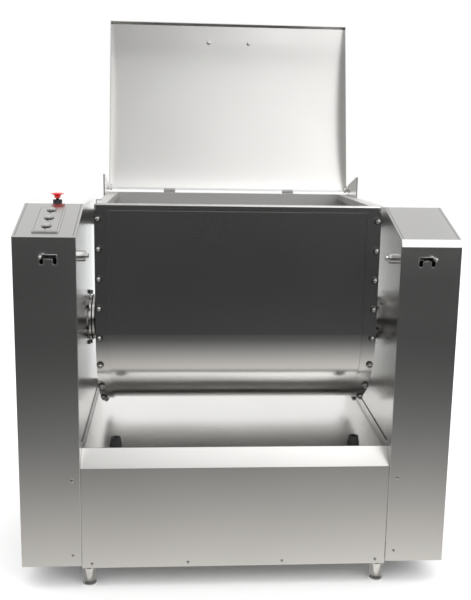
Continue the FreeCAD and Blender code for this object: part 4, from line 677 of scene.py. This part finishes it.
def pairs(
    name, body, slot, material, shape, count, start, step=ONE_PLACE,
    tip=0.0, lean=0.0, centre=0.0, **sizes,
):
    """Fittings on both sides of centre: start and step are X, Y and Z of the right-hand ones."""
    sizes.update({
        "Count": count * 2, "X": start[0], "Y": start[1], "Z": start[2], "Centre": centre,
        "Step X": step[0], "Step Y": step[1], "Step Z": step[2], "Tip": tip, "Lean": lean,
    })
    return grown(name, body, material, sizes, pair_spot, shape)


screw_low, screw_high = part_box("panel_screws")
SCREW = 0.0055
PROUD = 0.0001
RECESS = {"Wide": 0.0012, "Long": 0.0062, "Thick": 0.0006}
COLUMN_SCREW_STEP = (0.0, 0.0, -0.241)
APRON_SCREW_X = 0.14554
APRON_SCREW_STEP = (0.29344, 0.0, 0.0)
APRON_BACK = 0.006


def shaded_recesses(name, count, start, step):
    """Dark crosses of painted shade in the recesses of upright screw heads."""
    kind = ("root", "black_plastic", black_plastic, cross)
    return pairs(name, *kind, count, start, step, UPRIGHT, **RECESS)


column_start = (screw_high[0] - SCREW, screw_low[1] - PROUD, screw_high[2] - SCREW)
apron_start = (APRON_SCREW_X, screw_low[1] - PROUD + APRON_BACK, screw_low[2] + SCREW)
shaded_recesses("column_screw_marks", 2, column_start, COLUMN_SCREW_STEP)
shaded_recesses("apron_screw_marks", 2, apron_start, APRON_SCREW_STEP)
print("screw heads", 2 * SCREW)

# %% [markdown]
# The rear panel is held by round-headed screws along its upper and lower edges. A small ball sunk
# past its middle into the sheet leaves the low dome of such a head, and the same black cross of
# painted shade is laid on it.

# %% Screws of the rear panel
rear_low, rear_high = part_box("base_rear_panel")
REAR_EDGE = 0.014
REAR_X = 0.109
REAR_STEP = (0.164, 0.0, 0.0)
REAR_SINK = 0.0040
REAR_HEAD = 0.0065
for row, height in enumerate((rear_low[2] + REAR_EDGE, rear_high[2] - REAR_EDGE)):
    name = "rear_screws_%d" % (row + 1)
    heads = (REAR_X, rear_high[1] - REAR_SINK, height)
    marks = (REAR_X, rear_high[1] - REAR_SINK + REAR_HEAD + PROUD, height)
    pairs(name, "root", "bright_steel", bright_steel, bead, 3, heads, REAR_STEP, Bead=REAR_HEAD)
    shaded_recesses(name + "_marks", 3, marks, REAR_STEP)
print("rear screws at", rear_low[2] + REAR_EDGE, rear_high[2] - REAR_EDGE)

# %% [markdown]
# A thin black joint seals the sloped deck against the two columns, so that nothing spilt runs
# down the gap. It could follow the deck's edge as a curve. The edge is straight, so a slab on each
# side is enough, almost as long as the deck and tipped by its slope.

# %% Joints beside the deck
deck_low, deck_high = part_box("base_deck")
DECK_RISE = 0.027
JOINT_WIDE = 0.0020
JOINT_THICK = 0.0010
JOINT_PROUD = 0.0002
JOINT_SHORT = 0.006
deck_run = deck_high[1] - deck_low[1]
deck_middle = (deck_low[1] + deck_high[1]) / 2
pairs(
    "deck_joints", "root", "black_rubber", rubber, slab, 1,
    (deck_high[0] - JOINT_WIDE / 2, deck_middle, deck_high[2] - DECK_RISE / 2 + JOINT_PROUD),
    tip=math.atan2(DECK_RISE, deck_run),
    Wide=JOINT_WIDE, Long=deck_run - JOINT_SHORT, Thick=JOINT_THICK,
)
print("deck", round(deck_run, 4), "long")

# %% [markdown]
# The trough hangs on two trunnions. A soft lip closes the gap where each one enters the neck on
# its column, and inside the column the bearing is bolted on. The lip is a ring turned upright, and
# the bolt heads are six-sided discs set in a circle: step times an eighth of a turn.

# %% A rubber lip and bolt heads at each trunnion
NECK_END = -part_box("left_column_shell")[1][0]
NECK_RADIUS = 0.072
LIP_BACK = 0.0085
LIP = {"Radius": NECK_RADIUS + 0.0010, "Wall": 0.0026, "Thick": 0.0036}
BOLTS = 8
BOLT_TURN = 0.2
BOLT_CIRCLE = 0.0890
BOLT_HEAD = {"Radius": 0.0070, "Thick": 0.0060}
lip_start = (NECK_END + LIP_BACK, AXIS_Y, AXIS_Z)
pairs("neck_lips", "root", "black_rubber", rubber, ring, 1, lip_start, lean=UPRIGHT, **LIP)


def about_the_axis(turn, radius):
    """Y and Z of a point on a circle about the trough's axis."""
    return turn.cosine() * radius + AXIS_Y, turn.sine() * radius + AXIS_Z


def bolt_spot(values, index):
    side, step = side_of(index)
    y, z = about_the_axis(step * (2 * math.pi / BOLTS) + BOLT_TURN, values["Circle"])
    return side * values["Across"], y, z, 0.0, UPRIGHT, 0.0


def six_sided(tree, values):
    return disc(tree, values, 6)


bolt_sizes = {
    "Count": BOLTS * 2, "Circle": BOLT_CIRCLE,
    "Across": COLUMN_INNER - BOLT_HEAD["Thick"] / 2, **BOLT_HEAD,
}
grown("housing_bolts", "root", dark_steel_and_shade, bolt_sizes, bolt_spot, six_sided)

# %% [markdown]
# Low in each side cover are two fields of louvres, which let the motor's warm air out. The cover's
# slots are cut right through, and a real louvre has a blade pressed inwards behind each slot. A
# thin slab leaning by 35 degrees does the same work for the eye: it hides the inside of the column.

# %% Louvre blades
LOUVRES = 9
LOUVRE_FIELDS = (-0.1071, 0.0081)
LOUVRE_BACK = 0.0062
LOUVRE_FOOT = 0.1535
LOUVRE_STEP = (0.0, 0.0, 0.024)
LOUVRE_LEAN = math.radians(35)
BLADE = {"Wide": 0.012, "Long": 0.094, "Thick": 0.0012}
for field, y in enumerate(LOUVRE_FIELDS):
    pairs(
        "louvre_blades_%d" % (field + 1), "root", "sheet_steel", column_steel, slab, LOUVRES,
        (cover_low[0] - LOUVRE_BACK, y, cover_low[2] + LOUVRE_FOOT), LOUVRE_STEP,
        lean=LOUVRE_LEAN, **BLADE,
    )
print("louvres", LOUVRES, "in each of", 2 * len(LOUVRE_FIELDS), "fields")

# %% [markdown]
# The two front buffers are rubber blocks on the deck, on which the trough comes to rest when it is
# tipped. A screw with a round socket holds each one, sunk into its top. Two discs are enough: a
# bright one for the head, and a smaller black one of painted shade that reads as the socket's hole.

# %% Screws of the front buffers
buffer_low, buffer_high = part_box("front_buffers")
BUFFER_TIP = math.radians(2.6)
BUFFER_X = buffer_high[0] - 0.0185
BUFFER_Y = (buffer_low[1] + buffer_high[1]) / 2 - 0.0008
BUFFER_SCREW_Z = buffer_high[2] - 0.0075
BUFFER_HEAD = {"Radius": 0.0044, "Thick": 0.003}
BUFFER_HOLE = {"Radius": 0.0021, "Thick": 0.0004}
hole_z = BUFFER_SCREW_Z + BUFFER_HEAD["Thick"] / 2 + PROUD
pairs(
    "buffer_screws", "root", "bright_steel", bright_steel, disc, 1,
    (BUFFER_X, BUFFER_Y, BUFFER_SCREW_Z), tip=BUFFER_TIP, **BUFFER_HEAD,
)
pairs(
    "buffer_screw_marks", "root", "black_plastic", black_plastic, disc, 1,
    (BUFFER_X, BUFFER_Y, hole_z), tip=BUFFER_TIP, **BUFFER_HOLE,
)
print("buffer screws at", round(BUFFER_X, 4), round(BUFFER_Y, 4))

# %% [markdown]
# Four small rivets hold the control plate, and a black gasket seals each push button against it.
# Both sit on the slope, so their places are first measured along the plate and above it, and then
# turned into the machine's own Y and Z.

# %% Rivets and gaskets of the control plate
PLATE_THICK = 0.004
RIVET_INSET = 0.006
RIVET_ACROSS = 0.0364
RIVET_HEAD = 0.0016
FIRST_BUTTON = 0.037
GASKET_LIFT = 0.0005
GASKET = {"Radius": 0.0132, "Wall": 0.0024, "Thick": 0.0009}


def on_plate(along, above):
    """Y and Z of a point on the control plate, measured up the slope from the plate's foot."""
    y = PLATE_Y + along * math.cos(SLOPE) - above * math.sin(SLOPE)
    z = PLATE_Z + along * math.sin(SLOPE) + above * math.cos(SLOPE)
    return y, z


rivets_apart = PLATE_LONG - 2 * RIVET_INSET
pairs(
    "plate_rivets", "root", "bright_steel", bright_steel, bead, 2,
    (RIVET_ACROSS, *on_plate(RIVET_INSET, PLATE_THICK)),
    (0.0, rivets_apart * math.cos(SLOPE), rivets_apart * math.sin(SLOPE)),
    centre=PLATE_X, Bead=RIVET_HEAD,
)
for number in range(3):
    spot = on_plate(FIRST_BUTTON + BUTTON_PITCH * number, PLATE_THICK + GASKET_LIFT)
    pairs(
        "button_gasket_%d" % (number + 1), "root", "black_rubber", rubber, ring, 1,
        (0.0, *spot), tip=SLOPE, centre=PLATE_X, **GASKET,
    )
print("rivets", round(rivets_apart, 4), "apart")

# %% [markdown]
# A lever comes out of each column's front through a slot with two legs. The laser leaves a bright
# melted edge round such a cut. It is thinner than a millimetre, so it is a round bead along the
# slot's outline: a closed curve with a bevel, turned into a mesh.

# %% A bright lip round each lever slot
SLOT_WIDE = 0.013
SLOT_SPAN = 0.050
SLOT_DROP = 0.030
SLOT_NEAR = 0.524
SLOT_TOP = AXIS_Z + 0.254
SLOT_LIP = 0.0008
FOOT_STEPS = 12


def tube(name, body, material, points, radius):
    """A closed round bead along points."""
    line = bpy.data.curves.new(name, "CURVE")
    line.dimensions = "3D"
    line.bevel_depth = radius
    line.bevel_resolution = 3
    spline = line.splines.new("POLY")
    spline.points.add(len(points) - 1)
    for point, place in zip(spline.points, points):
        point.co = (*place, 1)
    spline.use_cyclic_u = True
    piece = added(name, plain_mesh(placed(name + "_maker", line)), body)
    finish(piece, material)
    return piece


def slot_foot(centre):
    """The rounded foot of one leg, from its right edge to its left."""
    radius = SLOT_WIDE / 2
    height = SLOT_TOP - SLOT_DROP + radius
    turns = [math.pi * step / FOOT_STEPS for step in range(FOOT_STEPS + 1)]
    return [(centre + radius * math.cos(t), height - radius * math.sin(t)) for t in turns]


def slot_points(side):
    """The edge of a lever slot: an arch with two rounded legs."""
    far = SLOT_NEAR + SLOT_SPAN
    under = SLOT_TOP - SLOT_WIDE
    outline = [(SLOT_NEAR, SLOT_TOP), (far, SLOT_TOP)]
    outline += slot_foot(far - SLOT_WIDE / 2)
    outline += [(far - SLOT_WIDE, under), (SLOT_NEAR + SLOT_WIDE, under)]
    outline += slot_foot(SLOT_NEAR + SLOT_WIDE / 2)
    return [(side * x, MACHINE_FRONT, z) for x, z in outline]


for label, side in (("left", -1), ("right", 1)):
    tube(label + "_slot_lip", "root", bright_steel, slot_points(side), SLOT_LIP)
print("slot top", round(SLOT_TOP, 4))

# %% [markdown]
# A weld is a row of overlapping beads. Three kinds of path are enough for this machine: a ring
# round a tube, a ring round each bar of the agitator, and a straight run along a corner. The rings
# come first. They join the trunnion housings to the columns and the agitator's sleeves to its arms.

# %% Rings of weld round the trunnion housings and the agitator's sleeves
BEAD_PITCH = 1.3
HOUSING_RING = 0.0728
HOUSING_BEAD = 0.0022
HOUSING_SINK = 0.0005
SLEEVE_HALF = 0.0303
SLEEVE_RING = 0.0262
SLEEVE_BEAD = 0.0018
STATION = 0.360


def ring_spot(values, index):
    """Beads in two rings about the trough's axis, one on each side of the centre."""
    side, step = side_of(index)
    turn = step * (2 * math.pi) * values["Pitch"]
    y, z = about_the_axis(turn, values["Ring"])
    return side * values["Across"] + values["Centre"], y, z, turn, 0.0, 0.0


def weld_rings(name, body, material, centre, across, radius, bead_size):
    """As many beads in each ring as overlap a little all the way round."""
    count = int(2 * math.pi * radius / (bead_size * BEAD_PITCH))
    sizes = {
        "Count": count * 2, "Pitch": 1.0 / count, "Centre": centre, "Across": across,
        "Ring": radius, "Bead": bead_size,
    }
    return grown(name, body, material, sizes, ring_spot, bead)


weld_rings(
    "housing_welds", "root", bright_steel,
    0.0, COLUMN_INNER - HOUSING_SINK, HOUSING_RING, HOUSING_BEAD,
)
for number, centre in enumerate((-STATION, 0.0, STATION)):
    weld_rings(
        "sleeve_welds_%d" % (number + 1), "agitator", dough_steel,
        centre, SLEEVE_HALF, SLEEVE_RING, SLEEVE_BEAD,
    )
print("rings", HOUSING_RING, SLEEVE_RING)

# %% [markdown]
# Three bars wind about the shaft, and each one is welded to the three arms on both sides: eighteen
# small rings. Where a ring sits follows from the cage's twist, so one tree can place them all. It
# splits the index into a bead, a side, a bar and an arm.

# %% Rings of weld round the agitator's bars
BARS = 3
ARMS = 3
BAR_BEADS = 32
BAR_CIRCLE = RADIUS - 0.031
CAGE_LONG = 0.738
BAR_TWIST = math.radians(60) / CAGE_LONG
BAR_WELD = {"Station": STATION, "Across": 0.0094, "Ring": 0.0166, "Bead": 0.0021}


def bar_weld_spot(values, index):
    """Beads round each of the three bars, on both sides of each of the three arms."""
    step = index.modulo(BAR_BEADS)
    ring_number = (index * (1.0 / BAR_BEADS) + 0.001).floor()
    side, rest = side_of(ring_number)
    bar = rest.modulo(BARS)
    arm = (rest * (1.0 / BARS) + 0.01).floor()
    x = (arm - 1.0) * values["Station"] + side * values["Across"]
    turn = bar * (2 * math.pi / BARS) + x * BAR_TWIST
    round_bar = step * (2 * math.pi / BAR_BEADS)
    y = turn.sine() * BAR_CIRCLE + round_bar.sine() * values["Ring"] + AXIS_Y
    z = turn.cosine() * -BAR_CIRCLE + round_bar.cosine() * values["Ring"] + AXIS_Z
    return x, y, z, 0.0, 0.0, 0.0


bar_sizes = {"Count": BAR_BEADS * BARS * ARMS * 2, **BAR_WELD}
grown("bar_welds", "agitator", dough_steel, bar_sizes, bar_weld_spot, bead)
print("bars", round(BAR_CIRCLE, 4), "beads", bar_sizes["Count"])

# %% [markdown]
# Straight runs join the rim to the trough, front and back, and the lid's ears to the rim. Both are
# two equal runs side by side, so one helper makes a run and its neighbour from a start, a
# direction and the way that the two are moved apart.

# %% Straight runs of weld
rim_low, rim_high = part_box("trough_rim")
ear_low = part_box("lid_ears")[0]
RUN_BEAD = 0.0016
RIM_END = 0.004
RIM_SINK = 0.0006
EAR_START = 0.002
EAR_SHORT = 0.012
EAR_SINK = 0.0004


def line_spot(values, index):
    side, step = side_of(index)
    reach = step * values["Pitch"]
    x = side * values["Side"] + reach * values["Run X"] + values["X"]
    y = side * values["Side Y"] + reach * values["Run Y"] + values["Y"]
    return x, y, values["Z"], 0.0, 0.0, 0.0


def weld_lines(name, body, material, start, run, length, apart):
    """Two equal runs, moved apart by plus and minus apart, along X or Y."""
    pitch = RUN_BEAD * BEAD_PITCH
    sizes = {
        "Count": int(length / pitch) * 2, "Pitch": pitch, "Bead": RUN_BEAD,
        "X": start[0], "Y": start[1], "Z": start[2],
        "Run X": run[0], "Run Y": run[1], "Side": apart[0], "Side Y": apart[1],
    }
    return grown(name, body, material, sizes, line_spot, bead)


weld_lines(
    "rim_welds", "tank", bright_steel,
    (-HALF_TROUGH + RIM_END, AXIS_Y, rim_low[2] - RIM_SINK), (1.0, 0.0),
    2 * (HALF_TROUGH - RIM_END), (0.0, RADIUS + RIM_SINK),
)
weld_lines(
    "ear_welds", "tank", bright_steel,
    (0.0, ear_low[1] + EAR_START, rim_high[2] + EAR_SINK), (0.0, 1.0),
    rim_high[1] - ear_low[1] - EAR_SHORT, (HALF_TROUGH - EAR_SINK, 0.0),
)
print("rim", rim_low[2], rim_high[2])

# %% [markdown]
# A polished machine looks like what stands around it, so most of its look is the studio. To the
# eye the floor and the air are white. Metal mustn't see plain white, or every sheet would look
# the same. So a material asks what kind of ray has come: the camera's own, or one that metal sends
# on. The floor is the first: plain paint for the camera, and an even glow for metal.

# %% The floor
WHITE = (1, 1, 1, 1)
FLOOR_PAINT = (0.86, 0.86, 0.86, 1)
FLOOR_REACH = 14.0
FLOOR_IN_METAL = 1.1


def seen_rays(tree):
    """1 for the camera's own rays, and 1 for those that metal and glass send on."""
    path = tree.nodes.new("ShaderNodeLightPath")
    kinds = ("Is Camera Ray", "Is Glossy Ray", "Is Transmission Ray")
    camera_ray, glossy, through = [Value(tree, path.outputs[kind]) for kind in kinds]
    return camera_ray, (glossy + through).clamped()


def plane(name, corners):
    """A flat sheet of the studio, which isn't a part of the machine."""
    mesh = bpy.data.meshes.new(name)
    mesh.from_pydata(corners, [], [range(len(corners))])
    made = placed(name, mesh)
    return made


def level_card(name, height, front, back):
    """A level sheet as wide as the studio, from front to back."""
    return plane(name, [
        (-FLOOR_REACH, front, height), (FLOOR_REACH, front, height),
        (FLOOR_REACH, back, height), (-FLOOR_REACH, back, height),
    ])


def glow(tree, level, colour=WHITE):
    return node(tree, "ShaderNodeEmission", {}, Color=colour, Strength=level)


def show(tree, surface):
    """Make this shader the one that the material ends in."""
    plug(tree, tree.nodes["Material Output"].inputs["Surface"], surface)


def either(tree, share, first, second):
    """The first shader where share is 0, and the second where it is 1."""
    return node(tree, "ShaderNodeMixShader", {}, share, first, second)


def floor_finish():
    """A white floor that still takes the machine's shadow."""
    material, tree, main = shader("studio_floor")
    feed(tree, main, Base_Color=FLOOR_PAINT, Roughness=0.9)
    paint = Value(tree, main.outputs[0])
    show(tree, either(tree, seen_rays(tree)[1], paint, glow(tree, FLOOR_IN_METAL)))
    return material


finish(level_card("studio_floor", 0.0, -FLOOR_REACH, FLOOR_REACH), floor_finish())
print("floor", 2 * FLOOR_REACH, "wide")

# %% [markdown]
# The upright fronts reflect the floor in front of them: pale close to the machine, where the lamps
# reach, and nearly black further off. A floor lit that way would be dark in the picture as well.
# So metal sees a card that lies just over the floor instead. Its glow dies away with the distance
# from the machine and is a little warm near it. Behind the machine it keeps a bright strip, which
# the sheets that face that way reflect. Under the machine and just beside it, a painted shadow
# dims the card.

# %% The floor as metal sees it
MACHINE_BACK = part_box("left_column_shell")[1][1]
CARD_HEIGHT = 0.004
NEAR_LEVEL = 0.9
DARK_LEVEL = 0.034
SIDE_LEVEL = 0.15
REACH = 0.8
CONTACT_SHADOW_LEVEL = 0.4
NEAR_TINT = (1.0, 0.975, 0.935, 1)
FAR_TINT = (0.97, 0.995, 1.01, 1)
STRIP_HALF = 0.7
STRIP_SPREAD = 0.12
STRIP_LEVELS = (0.65, 1.5)
LEFT_TO_RIGHT = (0.88, 1.12)


def floor_in_metal():
    """The floor as metal sees it: it darkens away from the machine, but for a strip behind it, with a
    painted shadow under it.
    """
    material, tree, _ = shader("floor_in_metal")
    x, y, _ = along_axes(tree)
    beside = (x.size() - COLUMN_OUTER).at_least(0.0)
    ahead = (MACHINE_FRONT - y).at_least(0.0)
    behind = (y - MACHINE_BACK).at_least(0.0)
    away = distance(beside, ahead, behind)
    nearness = (away * (-1.0 / REACH)).exponent()
    far = mixed(DARK_LEVEL, SIDE_LEVEL, y.between(-1.6, -0.3))
    level = mixed(far, NEAR_LEVEL, nearness) * mixed(*LEFT_TO_RIGHT, x.between(-1.2, 1.2))
    in_strip = (x.size() - behind * STRIP_SPREAD).below(STRIP_HALF, STRIP_HALF)
    strip_level = mixed(*STRIP_LEVELS, behind.between(0.3, 4.5))
    level = mixed(level, strip_level, in_strip * behind.between(0.0, 0.05))
    # Painted shadow: the card is dimmed under the machine and within 2 cm of it.
    level = level * mixed(CONTACT_SHADOW_LEVEL, 1.0, away.between(0.0, 0.02))
    show(tree, glow(tree, level, blend_colours(tree, nearness * 2.0, FAR_TINT, NEAR_TINT)))
    return material


floor_card = level_card("floor_in_metal", CARD_HEIGHT, -FLOOR_REACH, FLOOR_REACH)
finish(floor_card, floor_in_metal())
print("levels", NEAR_LEVEL, DARK_LEVEL, SIDE_LEVEL)

# %% [markdown]
# Three more cards stand for the rest of the studio. A dark wall far in front is the photographer's
# side. A bright level card at chest height is there for the open lid, which looks down on it. A dim
# one lower down is met from below, by light that the deck mirrors up to the trough's front. Each
# of those two may be seen from one side only, so it is clear from the other. The camera sees no
# card, and no card throws a shadow.

# %% The cards that only metal sees
WALL_AWAY = 7.0
WALL_HIGH = 1.9
LID_CARD = (1.5, -7.0, -1.0)
LID_LEVELS = (0.66, 2.5)
LOW_CARD = (0.9, -3.0, -0.72)
LOW_LEVEL = 0.10
HIDDEN_FROM = ("camera", "diffuse", "shadow", "transmission", "volume_scatter")


def front_wall_finish():
    material, tree, _ = shader("front_wall")
    show(tree, glow(tree, DARK_LEVEL, FAR_TINT))
    return material


def one_sided(name, level, seen_from_below):
    """A glow on one side of a level card, that is clear from the other side."""
    material, tree, _ = shader(name)
    facing = tree.nodes.new("ShaderNodeNewGeometry")
    from_below = Value(tree, facing.outputs["Backfacing"])
    clear = node(tree, "ShaderNodeBsdfTransparent", {})
    hidden = 1.0 - from_below if seen_from_below else from_below
    show(tree, either(tree, hidden, glow(tree, level(tree)), clear))
    return material


def lid_level(tree):
    """Brighter to the right, as the photograph's lid is."""
    return mixed(*LID_LEVELS, along_axes(tree)[0].between(-0.9, 1.1))


def low_level(tree):
    return LOW_LEVEL


front_wall = plane("front_wall", [
    (-WALL_AWAY, -WALL_AWAY, 0.0), (WALL_AWAY, -WALL_AWAY, 0.0),
    (WALL_AWAY, -WALL_AWAY, WALL_HIGH), (-WALL_AWAY, -WALL_AWAY, WALL_HIGH),
])
finish(front_wall, front_wall_finish())
lid_card = level_card("lid_card", *LID_CARD)
finish(lid_card, one_sided("lid_card", lid_level, False))
low_card = level_card("low_card", *LOW_CARD)
finish(low_card, one_sided("low_card", low_level, True))
for card in (floor_card, front_wall, lid_card, low_card):
    for kind in HIDDEN_FROM:
        setattr(card, "visible_" + kind, False)
print("cards", floor_card.name, front_wall.name, lid_card.name, low_card.name)

# %% [markdown]
# The air round the machine is the world's own light. It is white to the eye, and lights the paint
# and plastic evenly. Metal sees it brighter to the right, brighter low down behind, and dark
# straight above, which gives the columns, the lid and the deck their slow change of tone. Two soft
# lamps add the shadow under the machine. Metal can't see them, so they leave no hot spots.

# %% The air and the lamps
AIR_LIGHT = 1.5
AIR_LEFT = 0.46
AIR_RIGHT = 1.8
AIR_BACK_LOW = 1.3
AIR_BACK_HIGH = 0.64
AIR_FRONT_HIGH = 1.3
AIR_SIDE_LOW = 0.30
AIR_SIDE_HIGH = 0.85
AIR_TOP = 0.2


def air_in_metal(tree):
    """How bright the air is in each direction, as metal sees it."""
    across, along, height = along_axes(tree, "Generated")
    overhead = height.between(0.89, 0.93) * across.size().below(0.25, 0.25)
    front = mixed(AIR_LEFT, AIR_RIGHT, across.between(-0.25, 0.4)) + overhead * AIR_FRONT_HIGH
    back = mixed(AIR_BACK_LOW, AIR_BACK_HIGH, height.between(0.35, 0.72))
    around = mixed(front, back, along.between(0.1, 0.4))
    side = mixed(AIR_SIDE_LOW, AIR_SIDE_HIGH, height.between(0.0, 0.5))
    around = mixed(around, side, across.size().between(0.55, 0.85))
    return mixed(around, AIR_TOP, height.between(0.95, 0.99))


def studio_air():
    """1 for the camera's rays, air_in_metal for metal's, and AIR_LIGHT for all others."""
    world = bpy.data.worlds.new("studio")
    world.use_nodes = True
    tree = world.node_tree
    camera_ray, sent_ray = seen_rays(tree)
    to_metal = sent_ray * (air_in_metal(tree) - AIR_LIGHT)
    strength = camera_ray * (1.0 - AIR_LIGHT) + to_metal + AIR_LIGHT
    feed(tree, tree.nodes["Background"], Color=WHITE, Strength=strength)
    bpy.context.scene.world = world


def softbox(name, place, target, size, power):
    light = bpy.data.lights.new(name, "AREA")
    light.shape = "RECTANGLE"
    light.size, light.size_y = size
    light.energy = power
    lamp = placed(name, light)
    lamp.location = place
    lamp.rotation_euler = (Vector(target) - Vector(place)).to_track_quat("-Z", "Y").to_euler()
    lamp.visible_glossy = False


studio_air()
softbox("over", (0.3, -0.6, 3.6), (0, 0, 0.9), (3.0, 2.2), 30)
softbox("front_right", (2.2, -3.2, 3.0), (0, 0, 1.0), (1.6, 1.6), 20)

# %% [markdown]
# The photographer stood a little left of the middle, about 2.4 m in front of the machine, with the
# lens above chest height and tipped down. A camera could be moved by eye until the picture fits.
# These numbers are surer: they come from lining up the edges of the columns, the trough's rim and
# the deck with the photograph.

# %% The camera
CAMERA_LEFT = 0.17855
CAMERA_AWAY = 2.4197
CAMERA_HEIGHT = 1.3686
CAMERA_YAW = math.radians(3.92)
CAMERA_PITCH = math.radians(10.82)
CAMERA_ROLL = math.radians(0.96)
FOCAL_PIXELS = 848.8
IMAGE_HEIGHT = 600

lens = bpy.data.cameras.new("camera")
lens.sensor_width = 36.0
lens.lens = lens.sensor_width * FOCAL_PIXELS / IMAGE_HEIGHT
camera = placed("camera", lens)
place = Matrix.Translation((-CAMERA_LEFT, MACHINE_FRONT - CAMERA_AWAY, CAMERA_HEIGHT))
turn = Matrix.Rotation(-CAMERA_YAW, 4, "Z")
tip = Matrix.Rotation(math.pi / 2 - CAMERA_PITCH, 4, "X")
camera.matrix_world = place @ turn @ tip @ Matrix.Rotation(CAMERA_ROLL, 4, "Z")
bpy.context.scene.camera = camera
bpy.context.scene.view_settings.view_transform = "Standard"
print("lens", round(lens.lens, 2))
